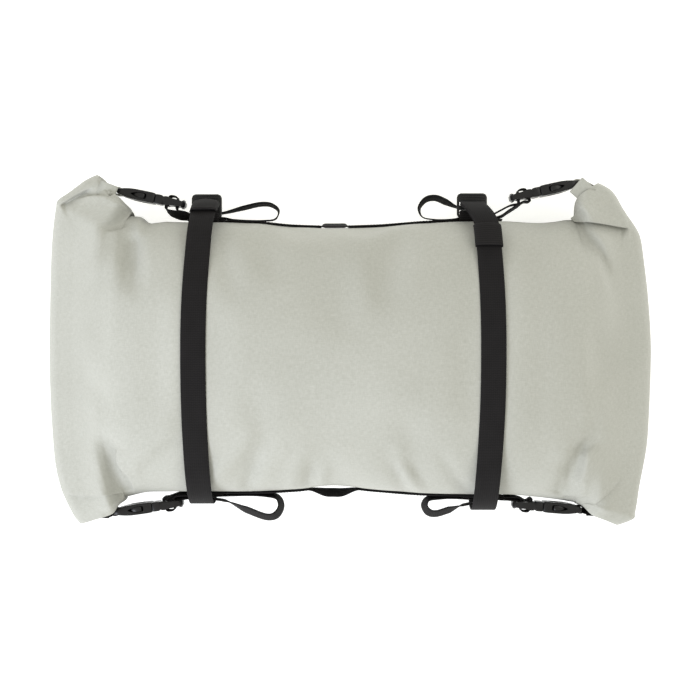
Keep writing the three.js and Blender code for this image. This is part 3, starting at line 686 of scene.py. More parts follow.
settled_skin = skin.copy()
moved = settle(trial, frames=16, pressure=1.0, slack_share=0.065, stiffness=6.0) - at
far = np.linalg.norm(moved, axis=1)
moved *= np.minimum(1, MOST_MOVED / np.maximum(far, 1e-6))[:, None]
facing_out = np.zeros(len(at) * 3, np.float32)
trial.data.vertices.foreach_get("normal", facing_out)
facing_out = facing_out.reshape(-1, 3).astype(float)
outward = np.maximum(0, (moved * facing_out).sum(axis=1))
moved -= facing_out * (outward * np.max([strapped, sewn, 0.9 * outline], axis=0))[:, None]
shift = np.zeros_like(skin)
shift[row, line] = moved
seam = np.isin(line, (0, len(full_w) - 1))
for side_line in (0, -1):
    shift[row[seam], side_line] = moved[seam]
for way in (0, 1, 0, 1):
    ends = np.concatenate([shift.take([0], way), shift, shift.take([-1], way)], way).swapaxes(0, way)
    shift = (0.25 * ends[:-2] + 0.5 * ends[1:-1] + 0.25 * ends[2:]).swapaxes(0, way)
shift[:, -1] = shift[:, 0]
settled_skin += shift
print("cloth moved in mm: mean", round(far.mean(), 2), "most", round(far.max(), 2))
trial_mesh = trial.data
bpy.data.objects.remove(trial)
bpy.data.meshes.remove(trial_mesh)

# %% [markdown]
# ## A finer grid where the cloth folds
#
# A crease is a millimetre or two wide, far narrower than the trial cloth's squares. Subdividing the whole
# bag would make it far too heavy, so the grid is drawn again through the settled points, on smooth
# curves, with narrow squares round the four corners and wide ones elsewhere.

# %% Finer grid
def uneven_steps(length, zones, wide, narrow, fade=25):
    """Places from 0 to length, close together inside the zones."""
    at = np.linspace(0, length, 4001)
    inside = np.zeros(len(at))
    for low, high in zones:
        inside = np.maximum(inside, smooth(at, low - fade, low) * (1 - smooth(at, high, high + fade)))
    count = np.r_[0, np.cumsum(np.diff(at) / (wide + (narrow - wide) * inside[1:]))]
    return np.interp(np.linspace(0, count[-1], round(count[-1]) + 1), count, at)


def between(start, leaving, end, arriving, t):
    """Places between two points, on a smooth curve with the slopes given at both."""
    ends = start * (2 * t**3 - 3 * t**2 + 1) + end * (3 * t**2 - 2 * t**3)
    return ends + leaving * (t**3 - 2 * t**2 + t) + arriving * (t**3 - t**2)


def redrawn(points, keys, at):
    """Points at other places along the first way of a grid, on a smooth curve."""
    slope = np.gradient(points, keys, axis=0)
    i = np.clip(np.searchsorted(keys, at, side="right") - 1, 0, len(keys) - 2)
    shape = (-1,) + (1,) * (points.ndim - 1)
    span = (keys[i + 1] - keys[i]).reshape(shape)
    t = (at - keys[i]).reshape(shape) / span
    return between(points[i], span * slope[i], points[i + 1], span * slope[i + 1], t)


# how far the narrow squares reach: from a neck outwards and inwards, from an edge to the back and front
NECK_OUT, NECK_IN, EDGE_BACK, EDGE_FRONT = 104, 36, 4, 100
neck_u = along_cloth[end_steps], along_cloth[-1 - end_steps]
edge_v = back_cloth / 2, back_cloth / 2 + front_cloth
by_necks = [(neck_u[0] - NECK_OUT, neck_u[0] + NECK_IN), (neck_u[1] - NECK_IN, neck_u[1] + NECK_OUT)]
by_edges = [(edge_v[0] - EDGE_BACK, edge_v[0] + EDGE_FRONT), (edge_v[1] - EDGE_FRONT, edge_v[1] + EDGE_BACK)]
fine_u = uneven_steps(along_cloth[-1], by_necks, wide=5, narrow=1.35)
fine_v = uneven_steps(round_cloth[-1], by_edges, wide=7, narrow=1.3)
fine_skin = redrawn(settled_skin, along_cloth, fine_u)
fine_skin = redrawn(fine_skin.swapaxes(0, 1), round_cloth, fine_v).swapaxes(0, 1)
fine_skin[:, -1] = fine_skin[:, 0]
print("finer grid:", fine_skin.shape[:2])

# %% [markdown]
# ## Creases
#
# At each corner the cloth is folded over itself. A crease is a line on the front panel, seen from the
# front. On each side of it the cloth is lifted or pressed down by so much at the line, and this dies
# away over so many millimetres. Where one side lies over the other, the cloth near the line is also
# pulled across it, so that the fold is a real S in the mesh and the light finds a real gap under it.

# %% Creases
CREASES = [  # line, lift and reach on its left, lift and reach on its right, overlap, fade at its ends
    # top left: the body's edge over the flap, the deep dent under it, the hump beside it
    ([(-248, 121), (-239, 121), (-232, 123.5), (-225, 128.5)], -1.0, 4, 2.6, 7, 2.8, 12, 14),
    ([(-218, 122), (-216, 110), (-214.5, 95), (-214, 66)], -6.5, 3, -6.5, 12, 0, 14, 26),
    ([(-206, 126), (-203, 100), (-202, 72)], 2.0, 9, 2.0, 7, 0, 12, 20),
    # top left: the lip of the roll, the flap's rounded edge in front of it, the sunken end of the roll
    ([(-298, 149.5), (-288, 155), (-277, 161.5), (-262, 167.5)], 2.5, 12, -9.0, 7, 1.2, 4, 14),
    (
        [(-283, 156), (-268, 158), (-252, 157.5), (-240, 153.5), (-229.5, 146), (-225, 140)],
        -3.0, 6, 2.5, 9, 2.4, 14, 14,
    ),
    ([(-258, 178), (-250, 166), (-245, 157)], -14.0, 12, 1.0, 5, 2.0, 3, 5),
    # top right: the flap over the body's edge, the dent and the ridge below it, a puff at its end
    ([(222, 132), (243, 130.5), (262, 128.5), (287, 125)], 6.0, 11, -8.0, 5, 4.2, 16, 5),
    ([(224, 122), (233, 108), (241, 92)], -4.0, 7, -4.0, 12, 0, 12, 14),
    ([(252, 121), (258, 106), (262, 88)], 2.8, 6, 2.8, 6, 0, 12, 16),
    ([(280, 119), (289, 117)], 3.0, 4, 3.0, 4, 0, 3, 3),
    # bottom left: the hooked dent, the edge of the flap
    (
        [(-229, -94), (-235.5, -103), (-236, -113), (-231, -123), (-224, -131), (-221.5, -144)],
        3.0, 8, -6.0, 16, 1.2, 18, 4,
    ),
    ([(-292, -149), (-271, -149.5), (-254, -148.5), (-232, -147)], 1.6, 7, -2.8, 9, 2.2, 10, 4),
    # bottom right: the ridge and the dent beside it, the two creases of the flap
    ([(239, -96), (238, -116), (232, -140)], 3.8, 4.5, 3.8, 12, 0, 14, 8),
    ([(221, -104), (216, -124), (211, -147)], -3.4, 7, -3.4, 12, 0, 16, 4),
    ([(219, -149), (232, -150), (247, -148.5)], 1.0, 5, -2.0, 5, 1.2, 3, 8),
    ([(247, -161), (262, -147), (281, -130)], 1.8, 8, -2.8, 5, 1.4, 5, 14),
]
SIDE_STEP = 1.3  # over which one side of a line turns into the other
SHARP_TIP, ROUND_TIP = 0.8, 3.0  # how rounded the line itself is, with and without an overlap
PULL_STEP, PULL_REACH = 2.2, 3.2  # of the cloth that is pulled across the line
CREASED_ROWS = 14  # how many rows of each end the creases reach


def through(corners, count=60):
    """Even samples of a line through a few corners, and the way it runs at each."""
    corners = np.array(corners, float)
    length = np.r_[0, np.cumsum(np.linalg.norm(np.diff(corners, axis=0), axis=1))]
    spots = redrawn(corners, length, np.linspace(0, length[-1], count))
    way = np.gradient(spots, axis=0)
    return spots, way / np.linalg.norm(way, axis=1)[:, None], length[-1]


def creased(points, line, left, left_reach, right, right_reach, overlap, fade_in, fade_out):
    """Points in mm after one crease."""
    spots, way, length = through(line)
    near = np.linalg.norm(points[:, None, :2] - spots[None], axis=2).argmin(axis=1)
    off = points[:, :2] - spots[near]
    along = near / (len(spots) - 1) * length + (off * way[near]).sum(axis=1)
    aside = np.stack([-way[near, 1], way[near, 0]], -1)
    d = (off * aside).sum(axis=1)
    share = smooth(along, -1, fade_in) * (1 - smooth(along, length - fade_out, length + 1))
    leftness = 0.5 + 0.5 * np.tanh(d / SIDE_STEP)
    soft = SHARP_TIP if overlap else ROUND_TIP
    far = np.sqrt(d**2 + soft**2) - soft
    rise = left * leftness * np.exp(-far / left_reach)
    rise = rise + right * (1 - leftness) * np.exp(-far / right_reach)
    made = points.copy()
    made[:, 2] += share * rise
    pull = overlap * (d / PULL_STEP) * np.exp(-((d / PULL_REACH) ** 2))
    made[:, :2] -= aside * (share * pull)[:, None]
    return made


first_row = end_steps - CREASED_ROWS
outer_u = along_cloth[first_row], along_cloth[-1 - first_row]
in_front = (fine_v > edge_v[0] - 2) & (fine_v < edge_v[1] + 2)
outside = (fine_u > outer_u[0]) & (fine_u < outer_u[1])
chosen = np.ix_(outside, in_front)
front_points = fine_skin[chosen].reshape(-1, 3)
for crease in CREASES:
    front_points = creased(front_points, *crease)
fine_skin[chosen] = front_points.reshape(fine_skin[chosen].shape)
print("creases:", len(CREASES), "points in front:", len(front_points))

# %% [markdown]
# ## Gathers
#
# Along the bottom edge the thread has drawn the cloth together, and short wrinkles run in from there
# between the straps. The cloth is steep here, so a move straight up would hardly show. Each gather is
# a short line instead, and the points beside it move in or out along the skin's own normals. They
# fade before the edge, where the webbing is sewn on.

# %% Gathers
GATHERS = [  # start at the edge, end, height along the normal, half width
    ((-128, -122), (-90, -80), 2.6, 8),
    ((-100, -132), (-88, -100), -6.0, 6.5),
    ((-56, -130), (-48, -106), 2.8, 6),
    ((-39, -132), (-33, -108), -4.2, 5.5),
    ((-28, -132), (-22, -110), 3.4, 5.5),
    ((51, -132), (41, -108), -4.0, 5.5),
    ((66, -132), (50, -112), 3.4, 5),
    ((70, -130), (57, -103), -2.4, 6),
    ((104, -124), (84, -96), -2.6, 7),
]
SEWN, LOOSE = 1, 6  # how far in from the edge the cloth is still held flat, and is free


def edge_y(edge, x):
    """Where the bag's top or bottom edge lies."""
    return column(BODY_X, BODY[edge], x)


normals = np.cross(np.gradient(fine_skin, axis=0), np.gradient(fine_skin, axis=1))
normals *= np.sign(normals[len(fine_u) // 2, len(fine_v) // 2, 2])
normals /= np.maximum(np.linalg.norm(normals, axis=2), 1e-9)[..., None]
heights = np.zeros(fine_skin.shape[:2])
for start, end, tall, half in GATHERS:
    length = math.dist(start, end)
    way = (np.array(end) - start) / length
    off = fine_skin[..., :2] - start
    along, aside = off @ way, off @ [-way[1], way[0]]
    heights += tall * np.exp(-((aside / half) ** 2)) * (1 - smooth(along, 0.25 * length, length + 8))
inward = fine_skin[..., 1] - edge_y("bottom", fine_skin[..., 0])
fine_skin += normals * (heights * smooth(inward, SEWN, LOOSE) * in_front)[..., None]
print("gathers:", len(GATHERS), "deepest in mm:", round(float(heights[:, in_front].min()), 1))

# %% [markdown]
# ## The bag
#
# The finished grid becomes the bag. `piece` is used for everything from here on: it makes the object,
# gives it a material, lets it ride on the bag and hides the parts of the CAD model that it stands for. A
# Solidify modifier gives the cut edges at the rolled ends their thickness. The rest of the cloth is
# closed all round, so only the rim is needed.

# %% Bag
def piece(name, bm, material, *nodes, slot=None, sharp=None):
    """Makes an object of a finished bmesh, which rides on the bag and stands for CAD nodes."""
    made = made_object(name, bm)
    if sharp:
        made.data.set_sharp_from_angle(angle=math.radians(sharp))
    made.data.materials.append(material)
    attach(made, "root")
    if nodes:
        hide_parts(*nodes)
    return made


bm = wrapped_grid(fine_skin, fine_u, fine_v)
bag = piece("bag_skin", bm, fabric_material, "fabric_shell", slot="coated_fabric")
rim = bag.modifiers.new("rim", "SOLIDIFY")
rim.thickness = 1.6 * MM
rim.offset = -1
rim.use_rim_only = True
print("bag faces:", len(bag.data.polygons))

# %% [markdown]
# ## Strips of webbing
#
# Every strap on the bag is the same kind of thing: a flat strip with rounded edges that follows a line.
# A curve with a bevel profile could make one, but its twist is hard to steer where a strap stands on edge.
# So a strip is a grid again: one way along the line, the other round a small flat section. Each station
# on the line says which way the strip faces and which way its width runs.

# %% Strip
def strip_section(wide, thick):
    """Places across and through a strip, once round its section."""
    half, deep = wide / 2, thick / 2
    edge = [(half, 0), (half - 0.25 * deep, 0.66 * deep), (half - 0.9 * deep, deep)]
    face = [(t * (half - 0.9 * deep), deep) for t in (0.5, 0, -0.5)]
    upper = edge + face + [(-a, b) for a, b in edge[::-1]]
    return np.array(upper + [(-a, -b) for a, b in upper[1:]])


def strip(stations, wide, thick, closed=False, capped=True, crown=0.0):
    """A bmesh of a strip along stations, which are arrays of points, ways out and ways across, in mm."""
    points, out, across = (np.asarray(part, float) for part in stations)
    if closed:
        points, out, across = (np.concatenate([part, part[:1]]) for part in (points, out, across))
    loop = strip_section(wide, thick)
    arch = np.broadcast_to(crown, len(points))[:, None] * (1 - (2 * loop[:, 0] / wide) ** 2)
    depth = (loop[:, 1] + arch)[:, :, None]
    grid = points[:, None] + across[:, None] * loop[None, :, :1] + out[:, None] * depth
    length = np.r_[0, np.cumsum(np.linalg.norm(np.diff(points, axis=0), axis=1))]
    bm = wrapped_grid(grid, length, loop[:, 0])
    if capped and not closed:
        bmesh.ops.holes_fill(bm, edges=[edge for edge in bm.edges if edge.is_boundary], sides=0)
        bmesh.ops.recalc_face_normals(bm, faces=bm.faces)
    return bm


print("points round a strip:", len(strip_section(25, 1.8)) - 1)

# %% [markdown]
# ## Main straps
#
# Two 25 mm straps go right round the bag. At the front they lie tight on the cloth. At the side edges
# they stand off it, where they arch over to the ladder locks. The path is worked out finely in the plane
# of the strap's own cross-section, lifted off the cloth, and then cut into even steps.

# %% Main strap paths
GAP = 0.3
MAIN_WIDE, MAIN_THICK = 25, 1.8
MAIN_STRAPS = {  # x, swerve at the lock, lean over the top edge and the bottom edge, stand-off at both
    "left": (-153.3, 2, 5, 2.5, 16.5, 10.5),
    "right": (142, -11.5, -4.5, -4.5, 16.5, 14),
}
STAND_OFF_REACH, STAND_OFF_CREST = math.radians(56), math.radians(7)
LEAN_REACH, SWERVE_REACH = math.radians(85), math.radians(27)


def bump_curve(distance, half):
    """A soft bump, 1 in the middle and 0 from half its width outwards."""
    return np.where(np.abs(distance) < half, np.cos(0.5 * math.pi * np.clip(distance / half, -1, 1)) ** 2, 0)


def facing(points):
    """The way out of a closed path that lies in planes of constant x."""
    along = np.roll(points, -1, axis=0) - np.roll(points, 1, axis=0)
    along[:, 0] = 0
    along /= np.linalg.norm(along, axis=1)[:, None]
    return np.stack([np.zeros(len(along)), along[:, 2], -along[:, 1]], -1)


def even(points, count):
    """The same closed path in even steps."""
    path = np.concatenate([points, points[:1]])
    length = np.r_[0, np.cumsum(np.linalg.norm(np.diff(path, axis=0), axis=1))]
    steps = np.linspace(0, length[-1], count, endpoint=False)
    return np.stack([np.interp(steps, length, path[:, k]) for k in range(3)], -1)


def main_path(name, count=320):
    """Stations of a main strap, once round the bag."""
    x, swerve, top_lean, bottom_lean, at_top, at_bottom = MAIN_STRAPS[name]
    angle = np.linspace(0, 2 * math.pi, 1440, endpoint=False) + 1e-4
    power = 2 / np.where(np.sin(angle) >= 0, FRONT_SQUARENESS, BACK_SQUARENESS)
    w = np.sign(np.cos(angle)) * np.abs(np.cos(angle)) ** power
    h = np.sign(np.sin(angle)) * np.abs(np.sin(angle)) ** power
    lying = body_row(x, w, h)
    from_top = np.arctan2(np.sin(angle), np.cos(angle)) - STAND_OFF_CREST
    from_bottom = angle - math.pi + STAND_OFF_CREST
    off = GAP + MAIN_THICK / 2 + at_top * bump_curve(from_top, STAND_OFF_REACH)
    off = off + at_bottom * bump_curve(from_bottom, STAND_OFF_REACH)
    path = lying + facing(lying) * off[:, None]
    path[:, 0] += swerve * bump_curve(from_top, SWERVE_REACH)
    path[:, 0] += top_lean * bump_curve(from_top, LEAN_REACH)
    path[:, 0] += bottom_lean * bump_curve(from_bottom, LEAN_REACH)
    path = even(path, count)
    return path, facing(path), np.tile([-1.0, 0, 0], (count, 1))


main_paths = {name: main_path(name) for name in MAIN_STRAPS}
for name, path in main_paths.items():
    bm = strip(path, MAIN_WIDE, MAIN_THICK, closed=True)
    piece(f"main_strap_{name}.woven", bm, webbing_material, f"main_strap_{name}", slot="webbing")
    print("main strap", name, "length in mm:", round(len(path[0]) * np.linalg.norm(path[0][1] - path[0][0])))

# %% [markdown]
# ## Loose ends and keepers
#
# Above each ladder lock the end of the strap is doubled back on itself, and a sleeve of ribbed elastic
# holds it down. The end is one more strip, one thickness further out along the same path. The keeper is
# a strip's skin without its caps, and a Solidify modifier gives the sleeve its wall.

# %% Loose ends and keepers
KEEPERS = {"left": (90, 115, 3.2), "right": (133, 147, 1.8)}  # from and to a height, crown at the first
KEEPER_CROWN, SLEEVE_WALL = 1.2, 1.2  # crown at the other height, thickness of the elastic
LOOSE_ENDS = {"left": (86, 114), "right": (86, 146)}  # from and to a height


def part_of(path, low, high, off):
    """The stations of a strap's way up from the top edge between two heights, moved out by off."""
    points, out, across = path
    held = (points[:, 1] > 0) & (points[:, 2] >= low) & (points[:, 2] <= high)
    order = np.argsort(points[held][:, 2])
    return (points[held] + out[held] * off)[order], out[held][order], across[held][order]


for name, path in main_paths.items():
    bm = strip(part_of(path, *LOOSE_ENDS[name], MAIN_THICK + 0.15), MAIN_WIDE - 0.4, MAIN_THICK)
    piece(f"main_strap_end_{name}", bm, webbing_material, slot="webbing")
    low, high, crown = KEEPERS[name]
    sleeve_path = part_of(path, low, high, MAIN_THICK / 2)
    crowns = np.linspace(crown, KEEPER_CROWN, len(sleeve_path[0]))
    bm = strip(sleeve_path, MAIN_WIDE + 3, 2 * MAIN_THICK + 2 * SLEEVE_WALL, capped=False, crown=crowns)
    node = f"strap_keeper_{name}"
    keeper = piece(f"{node}.elastic", bm, elastic_material, node, slot="elastic")
    sleeve = keeper.modifiers.new("sleeve", "SOLIDIFY")
    sleeve.thickness = SLEEVE_WALL * MM
    sleeve.offset = -1
    print("keeper", name, "faces:", len(keeper.data.polygons))

# %% [markdown]
# ## Webbing along the edges
#
# Narrower webbing is sewn along the bag's top and bottom edges, standing on edge, with one open loop in
# the middle of each to lash things to. It follows the edge of the skin, a gap outside it.

# %% Edge webbing
EDGE_FROM, EDGE_TO, EDGE_WIDE, EDGE_THICK = -166, 158, 20, 1.6
EDGE_LOOPS = {"top": (-15, 10, 5, 1.3, 14), "bottom": (-16, 4, 24, 6, 21)}  # x, level, ramp, height, tilt
SIGN = {"top": 1, "bottom": -1}


def on_edge_stations(points, tilt=0.0):
    """Stations of a strip that stands on edge, turned by tilt about the way it runs."""
    along = np.gradient(points, axis=0)
    along[:, 2] = 0
    along /= np.linalg.norm(along, axis=1)[:, None]
    tilt = np.radians(np.broadcast_to(tilt, len(points)))[:, None]
    level = np.stack([-along[:, 1], along[:, 0], np.zeros(len(along))], -1)
    up = np.tile([0.0, 0, 1], (len(along), 1))
    return points, level * np.cos(tilt) + up * np.sin(tilt), up * np.cos(tilt) - level * np.sin(tilt)


for edge, (loop_x, level, ramp, height, tilt) in EDGE_LOOPS.items():
    x = np.linspace(EDGE_FROM, EDGE_TO, 217)
    lifted = smooth(level + ramp - np.abs(x - loop_x), 0, ramp)
    y = edge_y(edge, x) + SIGN[edge] * (GAP + EDGE_THICK / 2 + 0.3 + height * lifted)
    line = np.stack([x, y, np.full(len(x), EDGE_Z)], -1)
    bm = strip(on_edge_stations(line, tilt * lifted), EDGE_WIDE, EDGE_THICK)
    piece(f"edge_webbing_{edge}.woven", bm, webbing_material, f"edge_webbing_{edge}", slot="webbing")
    print("edge webbing", edge, "y at its loop:", round(float(y[np.argmin(np.abs(x - loop_x))]), 1))

# %% [markdown]
# ## Stitches
#
# Two rows of black thread sew the edge webbing to the bag, except along its loops. They could be bump in
# the webbing's finish, but thread catches the light by its own. A stitch is a small stretched sphere of
# a few faces, half sunk in the webbing. All stitches of an edge share one mesh.

# %% Stitches
STITCH, STITCH_STEP, STITCH_ROW = (1.1, 0.3, 0.32), 3.2, 7.5  # half sizes, step, row from the middle
for edge, (loop_x, level, ramp, height, tilt) in EDGE_LOOPS.items():
    bm = bmesh.new()
    for x in np.arange(EDGE_FROM + 3, EDGE_TO - 3, STITCH_STEP):
        if abs(x - loop_x) < level + ramp:
            continue
        y = float(edge_y(edge, x)) + SIGN[edge] * (GAP + EDGE_THICK + 0.35)
        for z in (EDGE_Z - STITCH_ROW, EDGE_Z + STITCH_ROW):
            put = Matrix.Translation((x * MM, y * MM, z * MM)) @ Matrix.Diagonal((*STITCH, 1))
            bmesh.ops.create_uvsphere(bm, u_segments=6, v_segments=4, radius=MM, matrix=put, calc_uvs=False)
    stitches = piece(f"edge_stitches_{edge}", bm, thread_material, slot="webbing")
    print("stitches", edge, "faces:", len(stitches.data.polygons))

# %% [markdown]
# ## Routes through the buckles
#
# The adjusting straps and the roll tabs wind round bars, so their routes are a few points each, joined by
# the same smooth curve that the CAD source uses (a centripetal Catmull-Rom curve, which doesn't loop
# where points are close together). A buckle's own frame has X along it, Y over its width and Z outwards.

# %% Routes
BUCKLES = {  # x, y of the middle, and the way from the roll to the bag
    "top_left": (-204, 157, (75, -15.4)),
    "top_right": (201, 164.5, (-69, -15.4)),
    "bottom_left": (-207, -162.5, (75, 10.3)),
    "bottom_right": (204, -162, (-66, 5.2)),
}


def buckle_frame(name):
    """The matrix from a buckle's own frame to the bag's, in mm."""
    x, y, (tx, ty) = BUCKLES[name]
    along = Vector((tx, ty, 0)).normalized()
    out = Vector((-along.y, along.x, 0))
    if out.y * y < 0:
        out.negate()
    axes = Matrix((along, out.cross(along), out)).transposed().to_4x4()
    return Matrix.Translation((x, y, EDGE_Z)) @ axes


def from_buckle(name, rows):
    """Points of a route given along a buckle and out from its middle plane."""
    return [tuple(buckle_frame(name) @ Vector((along, 0, out))) + (0,) for along, out in rows]


def route(rows, steps):
    """Stations along a smooth curve through rows of x, y, z and tilt."""
    rows = np.array(rows, float)
    padded = np.concatenate([2 * rows[:1] - rows[1:2], rows, 2 * rows[-1:] - rows[-2:-1]])
    gaps = np.maximum(np.linalg.norm(np.diff(padded[:, :3], axis=0), axis=1), 1e-6) ** 0.5
    points, tilts = [], []
    for i in range(len(rows) - 1):
        p0, p1, p2, p3 = padded[i : i + 4, :3]
        g0, g1, g2 = gaps[i : i + 3]
        m1 = ((p1 - p0) / g0 - (p2 - p0) / (g0 + g1) + (p2 - p1) / g1) * g1
        m2 = ((p2 - p1) / g1 - (p3 - p1) / (g1 + g2) + (p3 - p2) / g2) * g1
        last = i == len(rows) - 2
        t = np.linspace(0, 1, steps + 1)[: None if last else -1, None]
        points.append(between(p1, m1, p2, m2, t))
        tilts.append(rows[i, 3] + (rows[i + 1, 3] - rows[i, 3]) * t[:, 0])
    return on_edge_stations(np.concatenate(points), np.concatenate(tilts))


print("top left buckle at:", [round(v, 1) for v in buckle_frame("top_left").translation])

# %% [markdown]
# ## Adjusting straps
#
# Each of the four starts under the main strap, runs out to the buckle, goes round its bar and comes back.
# What is left over lies along the edge, bends round in a loop and is tucked under the main strap again.

# %% Adjusting straps
NARROW_WIDE, NARROW_THICK = 20, 1.4
BESIDE_STRAP, FREE = 24, 34  # how far from the main strap the layers still lie together, and are free
MALE_THICK, MALE_SLOTS, BUCKLE_FRONT = 8.4, ((15, 19.5), (25, 29.5)), 36
STARTS = {  # x, y and outward tilt of a few places on the way from under the main strap to the buckle
    "top_left": [(-166, 138.0, 20), (-175, 139.4, 24), (-184.5, 142.0, 14)],
    "top_right": [(156, 137.7, 4), (165, 143.3, 6), (174, 149.0, 6), (180.5, 153.2, 2)],
    "bottom_left": [(-166, -150.4, 18), (-175, -151.2, 24), (-186, -153.4, 14)],
    "bottom_right": [(155, -153.0, 8), (166, -152.6, 15), (176, -154.4, 12), (183, -156.6, 6)],
}
TAILS = {  # far end of the loop, its crest, where it is tucked in, tilt
    "top_left": ((-73, 144), (-90, 151), (-129, 142), 7),
    "top_right": ((72.5, 146.5), (89, 157.5), (111, 148), -12),
    "bottom_left": ((-70.5, -162), (-84, -173), (-129, -155.8), 24),
    "bottom_right": ((78, -161), (89, -169.5), (118, -160.5), -24),
}


def adjusting_route(name):
    """Rows of x, y, z and tilt along an adjusting strap."""
    edge, end = name.split("_")
    side, sign = (-1 if end == "left" else 1), SIGN[edge]
    (far_x, far_y), (crest_x, crest_y), (tuck_x, tuck_y), tilt = TAILS[name]
    strap_x = MAIN_STRAPS[end][0]

    def on_edge(x, layer, lean=0):
        off = GAP * (layer + 2) + EDGE_THICK + NARROW_THICK * (layer + 0.5)
        return (x, float(edge_y(edge, x)) + sign * off, EDGE_Z, lean)

    (a0, a1), (b0, b1) = MALE_SLOTS
    slot_a, slot_b, bar = (a0 + a1) / 2, (b0 + b1) / 2, (a1 + b0) / 2
    face = MALE_THICK / 2 + GAP + NARROW_THICK / 2 + 0.4
    over_bar = from_buckle(
        name,
        [
            (slot_a - 0.8, -face - 2),
            (slot_a - 0.2, 0),
            (slot_a + 1.4, face),
            (bar, face + 0.9),
            (slot_b - 1.4, face),
            (slot_b + 0.1, 0),
            (slot_b + 0.7, -face - 1),
            (BUCKLE_FRONT + 1, -face - 1.6),
        ],
    )
    return [
        on_edge(strap_x - side * BESIDE_STRAP, 0),
        on_edge(strap_x, 0.05),
        *[(x, y, EDGE_Z, -side * sign * tilt) for x, y, tilt in STARTS[name]],
        *over_bar,
        on_edge(strap_x, 1.2),
        on_edge(strap_x - side * BESIDE_STRAP, 0.9),
        on_edge(strap_x - side * FREE, 0.1, tilt * 0.3),
        on_edge(far_x + side * 16, 0.4, tilt * 0.4),
        (far_x + side * 3, on_edge(far_x, 0)[1] * 0.65 + far_y * 0.35, EDGE_Z, tilt * 0.4),
        (far_x, far_y, EDGE_Z, tilt * 0.7),
        (far_x + (crest_x - far_x) * 0.4, far_y + (crest_y - far_y) * 0.82, EDGE_Z, tilt),
        (crest_x, crest_y, EDGE_Z, tilt),
        ((crest_x + tuck_x) / 2, crest_y + (tuck_y - crest_y) * 0.45, EDGE_Z, tilt),
        (tuck_x, tuck_y, EDGE_Z, 0),
        (strap_x - side * 4, on_edge(strap_x, 2.8)[1], EDGE_Z, 0),
    ]


for name in BUCKLES:
    stations = route(adjusting_route(name), 8)
    bm = strip(stations, NARROW_WIDE, NARROW_THICK)
    node = f"adjusting_strap_{name}"
    piece(f"{node}.woven", bm, webbing_material, node, slot="webbing")
    length = np.linalg.norm(np.diff(stations[0], axis=0), axis=1).sum()
    print("adjusting strap", name, "length in mm:", round(float(length)))

# %% [markdown]
# ## Roll tabs
#
# A short tab comes out of each rolled end and loops round the rear bar of its buckle. At the bottom it is
# webbing. At the top it is the bag's own cloth, wider and turned so that its pale face shows. A tab is a
# strip on a route, as the adjusting straps are, and it leans over on its way out of the roll.

# %% Roll tabs
TAB_THICK, TAB_TURN, LIP_Z = 1.4, 1.25, 56  # thickness, and where in the roll a tab starts
TAB_W = (0.88, 0.92, 0.955)
REAR, BAR, REAR_BAR_HALF = -36, 3.5, 2.1
TABS = {  # width, leans of its first places, from the roll to the buckle, finish, slot
    "top": (19, (34, 34, 34, 0), fabric_material, "coated_fabric"),
    "bottom": (14, (6, 25, 50, 45), webbing_material, "webbing"),
}


def tab_route(name, leans):
    """Rows of x, y, z and tilt from a roll, round the rear bar of its buckle and back."""
    edge, end = name.split("_")
    side, sign = (-1 if end == "left" else 1), SIGN[edge]
    lip = ROLL["radius"] - ROLL["pitch"] * TAB_TURN - DOUBLE_LAYER - TAB_THICK - 4 * GAP
    in_roll = [end_plan(side, ROLL["out"] + lip, np.float64(sign * w)) for w in TAB_W]
    face = REAR_BAR_HALF + GAP + TAB_THICK / 2 + 0.2
    loop = [
        (REAR - 5, 1.0),
        (REAR - 1.5, face - 0.3),
        (REAR + BAR / 2, face + 0.3),
        (REAR + BAR + 1.8, face - 1),
        (REAR + BAR + 2.4, 0),
        (REAR + BAR + 1.8, -face + 1),
        (REAR + BAR / 2, -face - 0.3),
        (REAR - 1.5, -face + 0.3),
        (REAR - 5, -1.0),
    ]
    rows = [(float(x), float(y), LIP_Z, 0) for x, y in in_roll] + from_buckle(name, loop)
    leaning = [row[:3] + (side * sign * lean,) for row, lean in zip(rows, leans)]
    return leaning + rows[len(leans) :]


for name in BUCKLES:
    wide, leans, material, slot = TABS[name.split("_")[0]]
    bm = strip(route(tab_route(name, leans), 8), wide, TAB_THICK)
    piece(f"roll_tab_{name}.sewn", bm, material, f"roll_tab_{name}", slot=slot)
print("roll tabs:", len(BUCKLES))

# %% [markdown]
# ## Folded tab ends
#
# At both top corners the cloth of the tab is folded over the end of the roll, and its doubled edge shows
# as a small pale flap. It is a strip whose line is a narrow U seen from the side, so the fold is round
# and has two layers. A Solidify modifier on one layer would give it square edges.

# %% Folded tab ends
TAB_FOLDS = {  # middle of the fold, way back to the roll, width
    "top_left": ((-240, 160.5), (-0.93, 0.36), 15),
    "top_right": ((233.3, 169.6), (0.75, -0.66), 19.5),
}
FOLD_THICK = 1.2
FOLD_PROFILE = np.array(  # way back from the fold, height
    [(18, 85.3), (9, 85.2), (1.4, 85.2), (0.3, 85.6), (0, 86.4)]
    + [(0.3, 87.2), (1.4, 87.6), (9, 87.8), (18, 87.4)]
)


def bent_stations(points, across):
    """Stations of a strip that bends only across its faces, so that its width runs one way all along."""
    across = np.tile(across, (len(points), 1))
    out = np.cross(across, np.gradient(points, axis=0))
    return points, out / np.linalg.norm(out, axis=1)[:, None], across


for name, ((x, y), (way_x, way_y), wide) in TAB_FOLDS.items():
    back, height = FOLD_PROFILE.T
    points = np.stack([x + way_x * back, y + way_y * back, height], -1)
    bm = strip(bent_stations(points, [-way_y, way_x, 0.0]), wide, FOLD_THICK)
    fold = piece(f"roll_tab_fold_{name}", bm, fabric_material, slot="coated_fabric")
    print("folded end", name, "faces:", len(fold.data.polygons))

